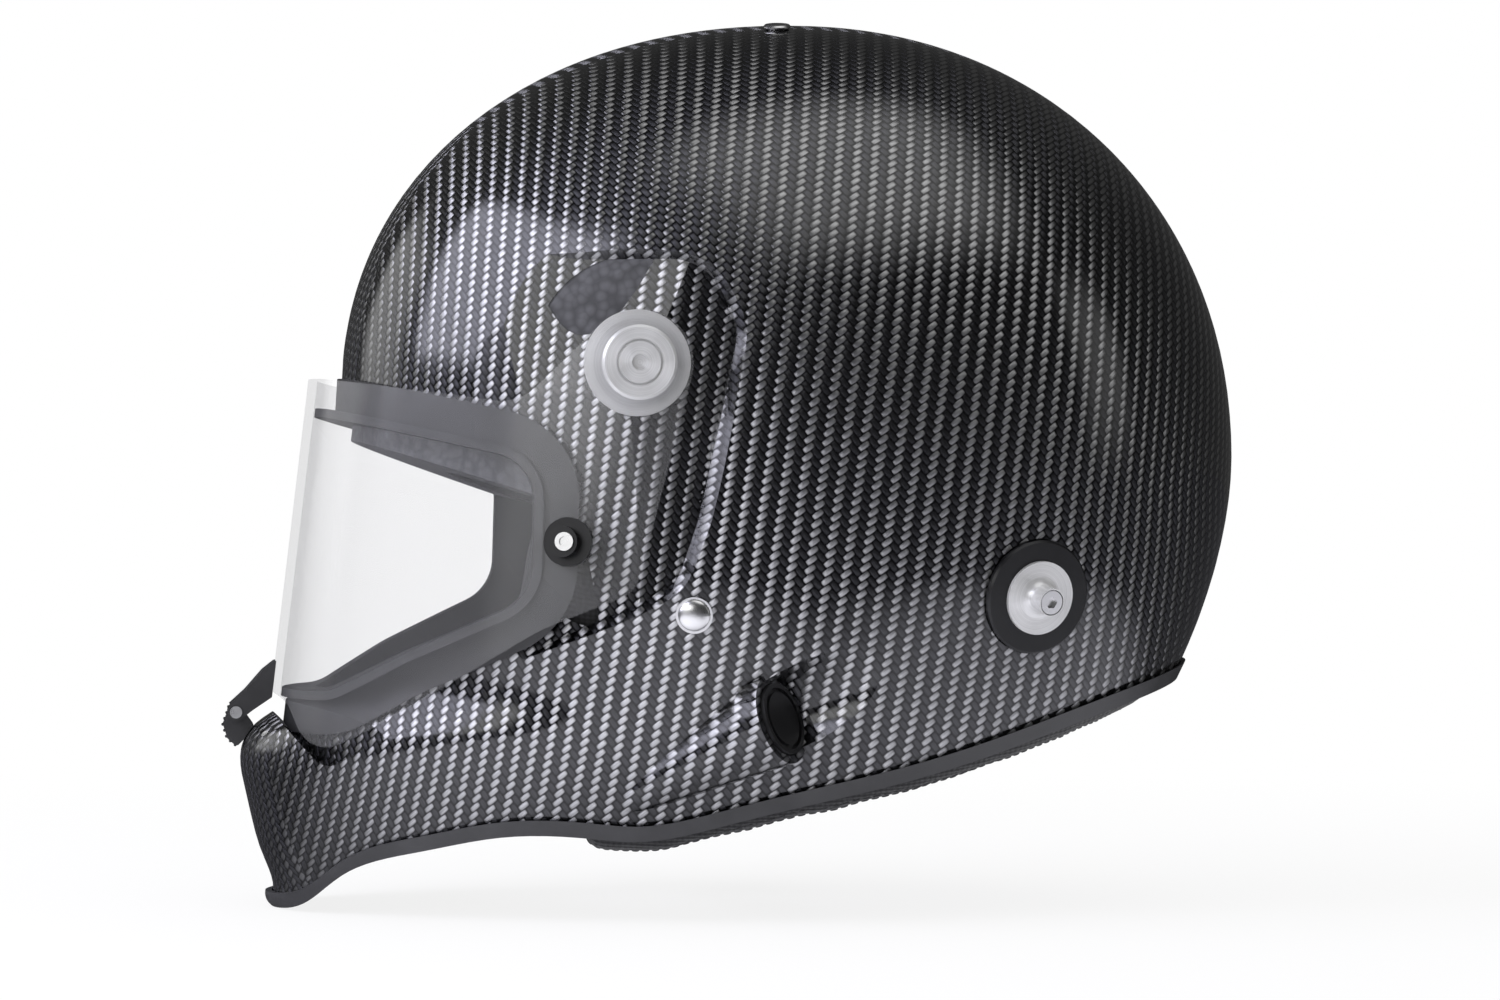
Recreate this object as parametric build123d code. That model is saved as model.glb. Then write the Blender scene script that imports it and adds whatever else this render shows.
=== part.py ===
from build123d import *
import math
import os
from functools import cache

# An auto racing helmet in millimetres. The face looks along -Y, the crown along +Z,
# and X = 0 is the mirror plane. The origin is the reference point of the head cavity.

# Driving sizes.
HELMET_LENGTH = 333.0
HELMET_WIDTH = 250.0
HELMET_HEIGHT = 290.0
SHELL_WALL = 3.0
VISOR_WALL = 3.0
VISOR_GAP = 3.6
FIT_GAP = 0.3
RUNNING_FIT = 0.05

# Shell surface. Shares of the length, the width or the height.
CENTRE_Y = 0.004 * HELMET_LENGTH
CROWN_REACH = 0.4286 * HELMET_HEIGHT
BOTTOM_REACH = 0.586 * HELMET_HEIGHT
BROW_REACH = 0.4483 * HELMET_LENGTH
NAPE_REACH = 0.4414 * HELMET_LENGTH
CHIN_LEDGE = 0.0598 * HELMET_LENGTH
CHIN_TUCK = 0.045 * HELMET_LENGTH
FACE_LEAN = 0.119
LEDGE_TOP = 0.317 * HELMET_HEIGHT
LEDGE_FOOT = 0.393 * HELMET_HEIGHT
REAR_LEVEL = -0.069 * HELMET_HEIGHT
REAR_FALL = 0.586 * HELMET_HEIGHT
SIDE_LEVEL = -0.0276 * HELMET_HEIGHT
SIDE_FALL = 0.69 * HELMET_HEIGHT
WAIST_SHIFT = 0.028 * HELMET_LENGTH
FRONT_POWER = 2.15
REAR_POWER = 2.1
NAPE_POWER = 1.75
TUCK_POWER = 1.6
FRONT_FULLNESS = 0.75
CHIN_FULLNESS = 0.79
REAR_FULLNESS = 0.85
LEVELS = 36
FINE_STEPS = 300
CROWN_ANGLE = 88.0

# Visor surface: a leaning tube with a conic plan.
VISOR_HALF_WIDTH = 0.468 * HELMET_WIDTH
VISOR_WAIST = -0.138 * HELMET_LENGTH
VISOR_FRONT = -0.4792 * HELMET_LENGTH
VISOR_FULLNESS = 0.68

# Outlines seen from the side, as shares of the length along Y and of the height along Z.
RIM_SHARES = (
    (-0.6500, -0.5640),
    (-0.5600, -0.5640),
    (-0.4895, -0.5640),
    (-0.4474, -0.5248),
    (-0.3766, -0.4955),
    (-0.3033, -0.4779),
    (-0.2189, -0.4779),
    (-0.1733, -0.4814),
    (-0.0988, -0.4652),
    (-0.0237, -0.4434),
    (0.0712, -0.4183),
    (0.1709, -0.3855),
    (0.2664, -0.3497),
    (0.3736, -0.3155),
    (0.6000, -0.2550),
)
EYE_SHARES = (
    (-0.6500, -0.0060),
    (-0.4730, -0.0193),
    (-0.2730, -0.0741),
    (-0.2763, -0.2207),
    (-0.3934, -0.2824),
    (-0.4625, -0.3276),
    (-0.6500, -0.3276),
)
EYE_ROUNDING_SHARES = (0, 0.2, 0.05, 0.055, 0.2, 0.05, 0)
POCKET_SHARES = (
    (-0.6500, 0.2400),
    (-0.2321, 0.1452),
    (-0.1150, 0.1452),
    (-0.0850, 0.0724),
    (-0.1027, -0.0293),
    (-0.1228, -0.1362),
    (-0.1430, -0.2080),
    (-0.2514, -0.2652),
    (-0.4661, -0.4134),
    (-0.5250, -0.3400),
    (-0.6500, -0.3400),
)
EDGE_BEVEL = 4.2
BEVEL_CORNER = 4
BEVEL_SLOPE_SHARE = 0.35
BEVEL_LEAN_SHARE = -0.13
POCKET_ROUNDING_SHARES = (0, 0.1, 0.06, 0.06, 0.2, 0.1, 0.05, 0.2, 0.02, 0.02, 0)
VISOR_SHARES = (
    (-0.6500, 0.0390),
    (-0.4715, 0.0217),
    (-0.3922, 0.0069),
    (-0.2886, -0.0110),
    (-0.0820, 0.2241),
    (-0.1814, -0.2138),
    (-0.2700, -0.2545),
    (-0.4336, -0.3714),
    (-0.4800, -0.3990),
    (-0.5036, -0.3310),
    (-0.6500, -0.3310),
)
VISOR_ROUNDING_SHARES = (0, 0, 0.2, 0.05, 0.0586, 0.035, 0.2, 0.2, 0.03, 0.03, 0)
PIVOT_SHARES = (-0.1781, 0.0328)
GASKET_REVEAL = 2.8
BLOCK_BACK = 0.2 * HELMET_LENGTH
BLOCK_HEIGHT = 1.05 * HELMET_HEIGHT
HALVINGS = 30
STRAP_WIDTH = 25.0
STRAP_BEND_SHARE = -0.4
STRAP_STEPS = 4
STRAP_SWEEP_SHARE = 0.1
CHIN_LEVEL_SHARE = -0.47
RING_PLACE_SHARE = 0.12
RING_WIRE = 2.0
BAR_GAP = 0.08
RING_OPENING = 29.0
RING_SIDE = 6.0
LONG_STRAP_END_SHARE = 0.01
SNAP_RADIUS = 6.0
SNAP_THICKNESS = 2.0
LATCH_PIN_SHARES = (-0.5489, -0.3552)
LATCH_SIZE = 14.0
LATCH_WIDTH = 18.0
LEVER_WIDTH = 11.0
LATCH_EYE_RADIUS = 2.7
LATCH_ROOM_RADIUS = 4.2
LATCH_PIN_RADIUS = 1.3
LATCH_HEAD_RADIUS = 2.0
LATCH_HEAD_THICKNESS = 0.7
BRACKET_SHARES = (
    (-0.15, 0.18),
    (0.22, 0.52),
    (0.62, 0.98),
    (0.9, 1.2),
    (1.3, 1.2),
    (1.3, 0.5),
    (0.95, 0.42),
    (0.4, 0.05),
    (0.1, -0.18),
)
BRACKET_ROUNDING_SHARES = (0, 0.3, 0.3, 0.1, 0.05, 0.05, 0.2, 0.3, 0)
LEVER_SHARES = (
    (-0.14, 0.14),
    (0.19, 0.02),
    (0.42, -0.3),
    (0.36, -0.48),
    (0.02, -0.82),
    (-0.2, -0.62),
    (-0.3, -0.3),
)
LEVER_ROUNDING_SHARES = (0, 0, 0.06, 0.06, 0.08, 0.06, 0.06)
COMFORT_SHARES = (
    (-0.6500, 0.6000),
    (-0.6500, 0.0300),
    (-0.4505, 0.0300),
    (-0.2703, -0.0600),
    (0.0601, -0.1850),
    (0.4500, -0.2650),
    (0.6000, 0.6000),
)
CHIN_SHARES = (
    (-0.6500, -0.3500),
    (-0.6500, -0.6500),
    (-0.2900, -0.6500),
    (-0.2600, -0.3500),
)
CHIN_ROUNDING_SHARES = (0, 0, 0.05, 0.05)
CHIN_ROOM_SHARES = (0.36, 0.41, -0.06)
NECK_ROOM_SHARES = (0.32, 0.3, 0.0)
NECK_FRONT_SHARE = -0.22
NECK_TOP = 22.0
NECK_DROP = 6.0
BEHIND_ALIGN = (Align.CENTER, Align.MIN, Align.CENTER)
CHEEK_MIDDLE_SHARES = (-0.105, -0.265)
CHEEK_REACH_SHARES = (0.25, 0.27, 0.32, 0.5)
CHEEK_SIZE_SHARES = (0.72, 0.88, 1.0, 1.0)
CHEEK_LENGTH_SHARE = 0.29
CHEEK_HEIGHT_SHARE = 0.28
CHEEK_TURN = -10.0
CHEEK_ROUND_SHARE = 0.3
STRAP_ROOM = 3.4
STRAP_GAP = 0.6
STRAP_THICKNESS = 2.0
SPIGOT_LENGTH = 8.0
PIVOT_SCREW_RADIUS = 3.0
PIVOT_DISC_RADIUS = 11.75
PIVOT_DISC_THICKNESS = 2.4
GROOVE_RADIUS = 7.3
GROOVE_DEPTH = 0.8
INNER_DISC_RADIUS = 6.5
INNER_DISC_RISE = 0.4
SOCKET_RADIUS = 2.5
PIVOT_SHANK_LENGTH = 10.0
WASHER_THICKNESS = 2.6
TETHER_FOOT_RADIUS = 11.75
FOOT_THICKNESS = 1.2
FLARE_RADIUS = 2.5
TETHER_POST_RADIUS = 4.5
TETHER_POST_LENGTH = 4.5
TETHER_HEAD_RADIUS = 3.8
TETHER_HEAD_DEPTH = 3.0
HEX_RADIUS = 2.0
NUT_GAP = 1.0
NUT_THICKNESS = 2.4
RIVET_FLANGE_RADIUS = 5.8
RIVET_FLANGE_THICKNESS = 0.9
RIVET_DOME_RADIUS = 5.1
RIVET_DOME_SQUASH = 0.42
RIVET_HEAD_THICKNESS = 1.2
RIVET_POCKET_DEPTH = 8.0
PLUG_RADIUS = 4.5
PLUG_GAP = 0.15
PLUG_THICKNESS = 1.6
PORT_PLUG_DEPTH = 5.0
PORT_PLUG_PROUD = 1.2
PORT_RING_RADIUS = 10.0
PORT_CAP_RADIUS = 8.6
POST_FLANGE_RADIUS = 7.7
POST_FLANGE_THICKNESS = 1.8
POST_BOSS_RADIUS = 4.9
POST_BOSS_SHIFT = 0.9
POST_BOSS_LENGTH = 4.5
POST_HEAD_RADIUS = 2.9
POST_HEAD_THICKNESS = 0.9
POST_SOCKET_RADIUS = 1.5
POST_NUT_THICKNESS = 1.0
GASKET_SKIN = 1.5
GASKET_GRIP = 11.0
LIP_GAP = 0.4
TRIM_SKIN = 1.4
TRIM_BEAD = 1.6
TRIM_GRIP = 3.4
COMFORT_DEPTH = 8.0
HEAD_SHARES = (0.34, 0.318, 0.34)
HEAD_Y_SHARE = 0.0
HEAD_Z_SHARE = -0.04
NUT_RADIUS = 8.0
NUT_DEPTH = 6.0
SPIGOT_ROOM_DEPTH = 10.0
POCKET_ROOM = 1.0
EPS_SHARES = (
    (-0.6500, 0.6000),
    (-0.6500, -0.0414),
    (-0.4505, -0.0414),
    (-0.2703, -0.1100),
    (0.0601, -0.1900),
    (0.4500, -0.2700),
    (0.6000, 0.6000),
)
EPS_ROUNDING_SHARES = (0, 0, 0, 0, 0, 0, 0)
BASE_ALIGN = (Align.CENTER, Align.CENTER, Align.MIN)
DRILL_DEPTH = 30.0
SEAT_DEPTH = 1.2
PLATE_RADIUS = 16.7
SPIGOT_RADIUS = 5.0
HUB_RADIUS = 14.0
PLATE_THICKNESS = 1.8
BUSH_RADIUS = 6.0
TETHER_SHARES = (0.2015, -0.2200)
TETHER_SEAT_DEPTH = 1.4
WASHER_RADIUS = 18.2
TETHER_BOLT_RADIUS = 3.0
RIVET_SHARES = (-0.1267, -0.2383)
RIVET_SHANK_RADIUS = 2.4
PLUG_PLACE_SHARE = 0.12
PLUG_Y_SHARE = -0.0192
PLUG_SHANK_RADIUS = 3.0
POST_SHARES = (-0.2435, -0.1600)
POST_BOLT_RADIUS = 2.0
PORT_SHARES = (-0.0444, -0.3510)
PORT_RISE = 3.0
PORT_NORMAL = (0.55, 0.78, 0.3)
PORT_RADIUS = 11.8
PORT_RIM = 2.6
PORT_CUP_DEPTH = 8.0
COWL_NOSE_SHARES = (-0.2, -0.45)
COWL_NOSE_SINK = 6.0
COWL_NOSE_RADIUS = 5.0
PORT_PAN_WALL = 2.0
SCOOP_LENGTH = 32.0
SCOOP_RADIUS = 20.0


def place(shares):
    """Give the (Y, Z) place of a pair of outline shares."""
    return (shares[0] * HELMET_LENGTH, shares[1] * HELMET_HEIGHT)


def smooth_step(share):
    """Ease from 0 to 1 with level ends."""
    held = min(max(share, 0.0), 1.0)
    return held * held * (3 - 2 * held)


def dome(share, power):
    """Give the reach left at a share of the way up a superellipse."""
    return (1 - min(abs(share), 1.0) ** power) ** (1 / power)


def front_reach(level, inset):
    """Give the foremost Y of the shell surface at a level, sunk by an inset."""
    if level >= 0:
        return CENTRE_Y - (BROW_REACH - inset) * dome(level / (CROWN_REACH - inset), FRONT_POWER)
    depth = -level
    lean = FACE_LEAN * min(depth, LEDGE_FOOT)
    ledge = CHIN_LEDGE * smooth_step((depth - LEDGE_TOP) / (LEDGE_FOOT - LEDGE_TOP))
    below = max(depth - LEDGE_FOOT, 0.0) / (BOTTOM_REACH - LEDGE_FOOT)
    return CENTRE_Y - (BROW_REACH - inset) - lean - ledge + CHIN_TUCK * below ** TUCK_POWER


def rear_reach(level, inset):
    """Give the rearmost Y of the shell surface at a level, sunk by an inset."""
    height = level - REAR_LEVEL
    span, power = (CROWN_REACH - REAR_LEVEL, REAR_POWER) if height >= 0 else (REAR_FALL, NAPE_POWER)
    return CENTRE_Y + (NAPE_REACH - inset) * dome(height / (span - inset), power)


def side_reach(level, inset):
    """Give the half width of the shell surface at a level, sunk by an inset."""
    height = level - SIDE_LEVEL
    span = CROWN_REACH - SIDE_LEVEL if height >= 0 else SIDE_FALL
    return (HELMET_WIDTH / 2 - inset) * dome(height / (span - inset), REAR_POWER)


def waist_place(level, inset):
    """Give the Y at which the shell is widest at a level."""
    return CENTRE_Y - WAIST_SHIFT * side_reach(level, inset) / (HELMET_WIDTH / 2)


def conic(share, fullness):
    """Give the across and along shares of a quarter conic, from its side to its nose."""
    back = 1 - share
    weight = 2 * fullness * share * back
    total = back * back + weight + share * share
    return (back * back + weight) / total, (share * share + weight) / total


def front_fullness(level):
    """Give the fullness of the front quarter, which is squarer at the chin."""
    change = smooth_step(-level / LEDGE_FOOT)
    return FRONT_FULLNESS + (CHIN_FULLNESS - FRONT_FULLNESS) * change


def ring(level, inset):
    """Draw a level section of the shell as four conic arcs."""
    half = side_reach(level, inset)
    waist = waist_place(level, inset)
    front = front_reach(level, inset)
    rear = rear_reach(level, inset)
    corners = ((half, front), (-half, front), (-half, rear), (half, rear))
    arcs = []
    for number, (side, end) in enumerate(corners):
        fullness = front_fullness(level) if number < 2 else REAR_FULLNESS
        reach = [(side, waist, level), (side, end, level), (0, end, level)]
        if number % 2:
            reach.reverse()
        arcs.append(Bezier(*reach, weights=[1, fullness, 1]))
    return Wire(arcs)


def even_levels(inset):
    """List levels an equal way apart along the front line, from the bottom to the crown."""
    crown = CROWN_REACH - inset
    bottom = BOTTOM_REACH + inset
    fine = [-bottom * (1 - number / FINE_STEPS) for number in range(FINE_STEPS)]
    for number in range(FINE_STEPS + 1):
        fine.append(crown * math.sin(math.radians(CROWN_ANGLE * number / FINE_STEPS)))
    fronts = [front_reach(level, inset) for level in fine]
    gaps = [math.dist(pair, last) for pair, last in zip(zip(fine, fronts), zip(fine[1:], fronts[1:]))]
    pace = sum(gaps) / LEVELS
    levels = [fine[0]]
    gone = 0.0
    for gap, start, end in zip(gaps, fine, fine[1:]):
        while gone + gap >= pace * len(levels) and len(levels) < LEVELS:
            share = (pace * len(levels) - gone) / gap
            levels.append(start + (end - start) * share)
        gone += gap
    return levels + [fine[-1]]


def blob(inset):
    """Loft the closed shell form, sunk by an inset, with a small flat at the crown."""
    return Solid.make_loft([ring(level, inset) for level in even_levels(inset)])


def shell_side(y, z, inset=0.0):
    """Give the X of the shell surface at a place seen from the side."""
    waist = waist_place(z, inset)
    if y <= waist:
        along = (y - waist) / (front_reach(z, inset) - waist)
        fullness = front_fullness(z)
    else:
        along = (y - waist) / (rear_reach(z, inset) - waist)
        fullness = REAR_FULLNESS
    return side_reach(z, inset) * across_for(along, fullness)


def across_for(along, fullness):
    """Find the across share of a conic at an along share by halving."""
    low, high = 0.0, 1.0
    for _ in range(HALVINGS):
        middle = (low + high) / 2
        if conic(middle, fullness)[1] < along:
            low = middle
        else:
            high = middle
    return conic(low, fullness)[0]


def visor_side(y, z, inset=0.0):
    """Give the X of the visor surface at a place seen from the side."""
    along = (y - FACE_LEAN * z - VISOR_WAIST) / (VISOR_FRONT + inset - VISOR_WAIST)
    return (VISOR_HALF_WIDTH - inset) * across_for(max(along, 0.0), VISOR_FULLNESS)


def visor_block(inset):
    """Fill the space inside the visor surface, sunk by an inset."""
    half = VISOR_HALF_WIDTH - inset
    front = VISOR_FRONT + inset
    low = -FACE_LEAN * BOTTOM_REACH
    waist = VISOR_WAIST + low
    nose = front + low
    back = BLOCK_BACK + low
    arcs = [
        Bezier((half, waist), (half, nose), (0, nose), weights=[1, VISOR_FULLNESS, 1]),
        Bezier((0, nose), (-half, nose), (-half, waist), weights=[1, VISOR_FULLNESS, 1]),
        Polyline((-half, waist), (-half, back), (half, back), (half, waist)),
    ]
    plan = make_face(Plane.XY.offset(-BOTTOM_REACH) * Curve(children=arcs))
    return extrude(plan, amount=BLOCK_HEIGHT, dir=(0, FACE_LEAN, 1))


def side_prism(outline, reach=None):
    """Extrude a face drawn in the side view across the helmet."""
    return extrude(outline, amount=reach or HELMET_WIDTH, both=True)


def side_outline(places, rounding):
    """Draw a closed side-view face with rounded corners."""
    radii = [share * HELMET_HEIGHT for share in rounding]
    flat = FilletPolyline(*[place(pair) for pair in places], radius=radii, close=True)
    return Plane.YZ * make_face(flat)


def below_rim(lift=0.0):
    """Fill the space under the rim curve, lifted by a height."""
    points = [place(pair) for pair in RIM_SHARES]
    points = [(y, z + lift) for y, z in points]
    first, last = points[0], points[-1]
    deep = -HELMET_HEIGHT
    closing = Polyline(last, (last[0], deep), (first[0], deep), first)
    edge = Spline(*points)
    return side_prism(Plane.YZ * make_face(Curve(children=[edge, closing])))


def eye_prism(growth=0.0):
    """Fill the eyeport across the helmet, grown all round by a width."""
    face = side_outline(EYE_SHARES, EYE_ROUNDING_SHARES)
    return side_prism(offset(face, growth) if growth else face)


def pocket_bevel(growth=0.0):
    """Give the flare that bevels the left rim of the visor pocket, grown by a width.

    Its foot lies under the shell side, on one plane below and a leaning one above.
    """
    face = side_outline(POCKET_SHARES, POCKET_ROUNDING_SHARES)
    reach = 3 * EDGE_BEVEL
    low = offset(face, growth) if growth else face
    flare = loft([low, Pos(reach, 0, 0) * offset(face, growth + reach)], ruled=True)
    y, z = place(POCKET_SHARES[BEVEL_CORNER])
    foot = shell_side(y, z) - EDGE_BEVEL - BEVEL_SLOPE_SHARE * y
    halves = []
    for lean, align in ((0.0, Align.MAX), (BEVEL_LEAN_SHARE, Align.MIN)):
        sheared = flare.transform_geometry(
            Matrix([[1, BEVEL_SLOPE_SHARE, lean, foot], [0, 1, 0, 0], [0, 0, 1, 0], [0, 0, 0, 1]])
        )
        room = Box(2 * HELMET_WIDTH, 3 * HELMET_LENGTH, HELMET_HEIGHT, align=(Align.CENTER, Align.CENTER, align))
        halves.append(sheared & room)
    return halves


def pocket_prism(growth=0.0):
    """Fill the visor pocket across the helmet, grown all round by a width."""
    face = side_outline(POCKET_SHARES, POCKET_ROUNDING_SHARES)
    return side_prism(offset(face, growth) if growth else face)


def surface_plane(reach, y, z):
    """Place a plane on a side surface with its normal outward."""
    step = 1.0
    slope_y = (reach(y + step, z) - reach(y - step, z)) / (2 * step)
    slope_z = (reach(y, z + step) - reach(y, z - step)) / (2 * step)
    normal = Vector(1, -slope_y, -slope_z)
    return Plane(origin=(reach(y, z), y, z), x_dir=Vector(0, 0, 1).cross(normal), z_dir=normal)


def disc(plane, radius, start, end):
    """Make a round body about a plane's normal between two heights."""
    return plane.offset(start) * Cylinder(radius, end - start, align=BASE_ALIGN)


def pair(shape):
    """Group a piece of the left side with its mirror twin."""
    return Compound(list(shape.solids()) + list(mirror(shape, about=Plane.YZ).solids()))


def both_sides(shape):
    """Give a tool of the left side fused with its mirror twin."""
    return shape + mirror(shape, about=Plane.YZ)


def pivot_plane():
    """Place the visor pivot plane on the floor of its seat."""
    y, z = place(PIVOT_SHARES)
    seat = visor_side(y, z) - VISOR_WALL - VISOR_GAP - SEAT_DEPTH
    return Plane(origin=(seat, y, z), x_dir=(0, 1, 0), z_dir=(1, 0, 0))


def tether_plane():
    """Place the tether anchor plane on the floor of its seat."""
    return surface_plane(shell_side, *place(TETHER_SHARES)).offset(-TETHER_SEAT_DEPTH)


def port_plane():
    """Place the port plane on the rear face of its cowl."""
    y, z = place(PORT_SHARES)
    return Plane(origin=(shell_side(y, z) + PORT_RISE, y, z), x_dir=(0, 0, 1), z_dir=PORT_NORMAL)


def port_ramp():
    """Model the solid ramp that rises rearward to the port face."""
    face = port_plane()
    y, z = place(COWL_NOSE_SHARES)
    middle = Vector(shell_side(y, z, COWL_NOSE_SINK), y, z)
    nose = Plane(origin=middle, x_dir=(0, 0, 1), z_dir=face.origin - middle)
    return loft([nose * Circle(COWL_NOSE_RADIUS), face * Circle(PORT_RADIUS + PORT_RIM)])


def port_scoop(growth=0.0):
    """Give the hollow that opens the shell behind the port face, grown by a wall."""
    face = port_plane()
    return loft([
        face.offset(-growth / 2) * Circle(PORT_RADIUS + PORT_RIM / 2 + growth),
        face.offset(SCOOP_LENGTH) * Circle(SCOOP_RADIUS + growth),
    ])


def port_room(growth=0.0):
    """Give the space of the port's cup and pan inside the shell, grown by a gap."""
    radius = PORT_RADIUS + PORT_RIM + growth
    return disc(port_plane(), radius, -PORT_CUP_DEPTH - growth, 0) + port_scoop(PORT_PAN_WALL + growth)


def port_cowl():
    """Model what the port adds to the shell: the ramp, the plug's cup and the pan behind it."""
    cup = disc(port_plane(), PORT_RADIUS + PORT_RIM, -PORT_CUP_DEPTH, 0)
    return (port_ramp() - blob(SHELL_WALL)) + cup + (port_scoop(PORT_PAN_WALL) & blob(0))


def outer_shell():
    """Model the moulded shell with its visor pocket, eyeport, port cowls and rim."""
    floor_depth = VISOR_WALL + VISOR_GAP
    outside = blob(0) - below_rim() - (pocket_prism() - visor_block(floor_depth))
    outside = outside - eye_prism(GASKET_REVEAL)
    inside = blob(SHELL_WALL) - below_rim(-SHELL_WALL)
    inside = inside - (pocket_prism(SHELL_WALL) - visor_block(floor_depth + SHELL_WALL))
    for bevel in pocket_bevel():
        outside = outside - bevel - mirror(bevel, about=Plane.YZ)
    for bevel in pocket_bevel(SHELL_WALL * math.sqrt(2)):
        inside = inside - bevel - mirror(bevel, about=Plane.YZ)
    shell = outside - inside + both_sides(port_cowl())
    pivot = pivot_plane()
    tools = [
        port_scoop(),
        disc(port_plane(), PORT_RADIUS, -PORT_PLUG_DEPTH - FIT_GAP, 1),
        disc(pivot, PLATE_RADIUS + FIT_GAP, 0, SEAT_DEPTH + SHELL_WALL),
        disc(pivot, SPIGOT_RADIUS + FIT_GAP, -DRILL_DEPTH, DRILL_DEPTH),
        disc(tether_plane(), WASHER_RADIUS + FIT_GAP, 0, DRILL_DEPTH),
        disc(tether_plane(), TETHER_BOLT_RADIUS + FIT_GAP, -DRILL_DEPTH, DRILL_DEPTH),
        disc(rivet_plane(), RIVET_SHANK_RADIUS + FIT_GAP, -DRILL_DEPTH, DRILL_DEPTH),
        disc(crown_plug_plane(), PLUG_SHANK_RADIUS + FIT_GAP, -DRILL_DEPTH, DRILL_DEPTH),
    ]
    for tool in tools:
        shell = shell - tool - mirror(tool, about=Plane.YZ)
    return shell


def rivet_plane():
    """Place the strap rivet plane on the shell surface."""
    return surface_plane(shell_side, *place(RIVET_SHARES))


def crown_plug_plane():
    """Place the crown plug plane on the shell surface."""
    x = PLUG_PLACE_SHARE * HELMET_WIDTH
    y = PLUG_Y_SHARE * HELMET_LENGTH
    height = crown_height(x, y)
    step = 1.0
    slope_x = (crown_height(x + step, y) - crown_height(x - step, y)) / (2 * step)
    slope_y = (crown_height(x, y + step) - crown_height(x, y - step)) / (2 * step)
    return Plane(origin=(x, y, height), x_dir=(0, 1, slope_y), z_dir=(-slope_x, -slope_y, 1))


def crown_height(x, y, inset=0.0):
    """Find the Z of the crown over a place by halving."""
    low, high = 0.0, CROWN_REACH - inset
    for _ in range(HALVINGS):
        middle = (low + high) / 2
        waist = waist_place(middle, inset)
        reach = front_reach(middle, inset) if y < waist else rear_reach(middle, inset)
        along = (y - waist) / (reach - waist)
        if along < 1 and shell_side(y, middle, inset) > abs(x):
            low = middle
        else:
            high = middle
    return low


def hub_start():
    """Give the height of the visor hub's inner face over the pivot seat."""
    return PLATE_THICKNESS + FIT_GAP


def hub_end():
    """Give the height of the visor hub's outer face, level with the visor at the pivot."""
    return SEAT_DEPTH + VISOR_GAP + VISOR_WALL


def post_plane():
    """Place the tear-off post plane on the visor surface."""
    return surface_plane(visor_side, *place(POST_SHARES))


def visor_lens():
    """Model the curved visor with its two pivot ears."""
    sheet = visor_block(0) - visor_block(VISOR_WALL)
    lens = sheet & side_prism(side_outline(VISOR_SHARES, VISOR_ROUNDING_SHARES))
    pivot = pivot_plane()
    hub = disc(pivot, HUB_RADIUS, hub_start(), hub_end())
    bore = disc(pivot, BUSH_RADIUS + RUNNING_FIT, 0, DRILL_DEPTH)
    clear = disc(pivot, PLATE_RADIUS + FIT_GAP, -DRILL_DEPTH, hub_start())
    clear = clear + disc(pivot, HUB_RADIUS, hub_end(), DRILL_DEPTH)
    post_hole = disc(post_plane(), POST_BOLT_RADIUS + FIT_GAP, -DRILL_DEPTH, DRILL_DEPTH)
    return lens + both_sides(hub) - both_sides(clear) - both_sides(bore) - both_sides(post_hole)


def eyeport_gasket():
    """Model the rubber round the eyeport: a channel on the edge, a wide flange and a lip."""
    floor_depth = VISOR_WALL + VISOR_GAP
    under = floor_depth + SHELL_WALL
    band = (eye_prism(GASKET_REVEAL + GASKET_GRIP) & pocket_prism(-FIT_GAP)) - eye_prism()
    outer = blob(-GASKET_SKIN) & visor_block(floor_depth - GASKET_SKIN) & band
    skin = outer - (blob(SHELL_WALL + GASKET_SKIN) & visor_block(under + GASKET_SKIN))
    core = blob(SHELL_WALL + FIT_GAP) & visor_block(under + FIT_GAP)
    slot = (blob(-FIT_GAP) & visor_block(floor_depth - FIT_GAP)) - core
    skin = skin - (slot - eye_prism(GASKET_REVEAL - FIT_GAP))
    for bevel in pocket_bevel((SHELL_WALL + FIT_GAP) * math.sqrt(2)):
        skin = skin - both_sides(bevel & core)
    lip_band = eye_prism(GASKET_REVEAL) - eye_prism()
    lip = (visor_block(VISOR_WALL + LIP_GAP) & lip_band) - blob(0)
    return skin + lip


@cache
def gasket_room():
    """Give the space that the gasket's inner skin takes inside the shell, with a gap."""
    depth = SHELL_WALL + GASKET_SKIN + FIT_GAP
    core = blob(depth) & visor_block(VISOR_WALL + VISOR_GAP + depth)
    return eye_prism(GASKET_REVEAL + GASKET_GRIP + FIT_GAP) - core


@cache
def floor_room():
    """Give the space that the visor pocket takes inside the shell, with a gap."""
    depth = VISOR_WALL + VISOR_GAP + SHELL_WALL + FIT_GAP
    room = pocket_prism(SHELL_WALL + FIT_GAP) - visor_block(depth)
    for bevel in pocket_bevel((SHELL_WALL + FIT_GAP) * math.sqrt(2)):
        room = room + both_sides(bevel - visor_block(depth))
    return room


def edge_trim():
    """Model the rubber channel pressed on the shell's bottom edge."""
    band = below_rim(TRIM_GRIP) - below_rim(-TRIM_BEAD)
    outer = blob(-TRIM_SKIN) & band
    inner = blob(SHELL_WALL + TRIM_SKIN)
    slot = (blob(-FIT_GAP) - blob(SHELL_WALL + FIT_GAP)) - below_rim(-FIT_GAP)
    return outer - inner - slot


def head_form(growth=0.0):
    """Model the egg of the head cavity, grown by a width."""
    spans = (HELMET_WIDTH, HELMET_LENGTH, HELMET_HEIGHT)
    sizes = [share * span + growth for share, span in zip(HEAD_SHARES, spans)]
    egg = scale(Sphere(1), by=tuple(sizes))
    return Pos(0, HEAD_Y_SHARE * HELMET_LENGTH, HEAD_Z_SHARE * HELMET_HEIGHT) * egg


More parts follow.
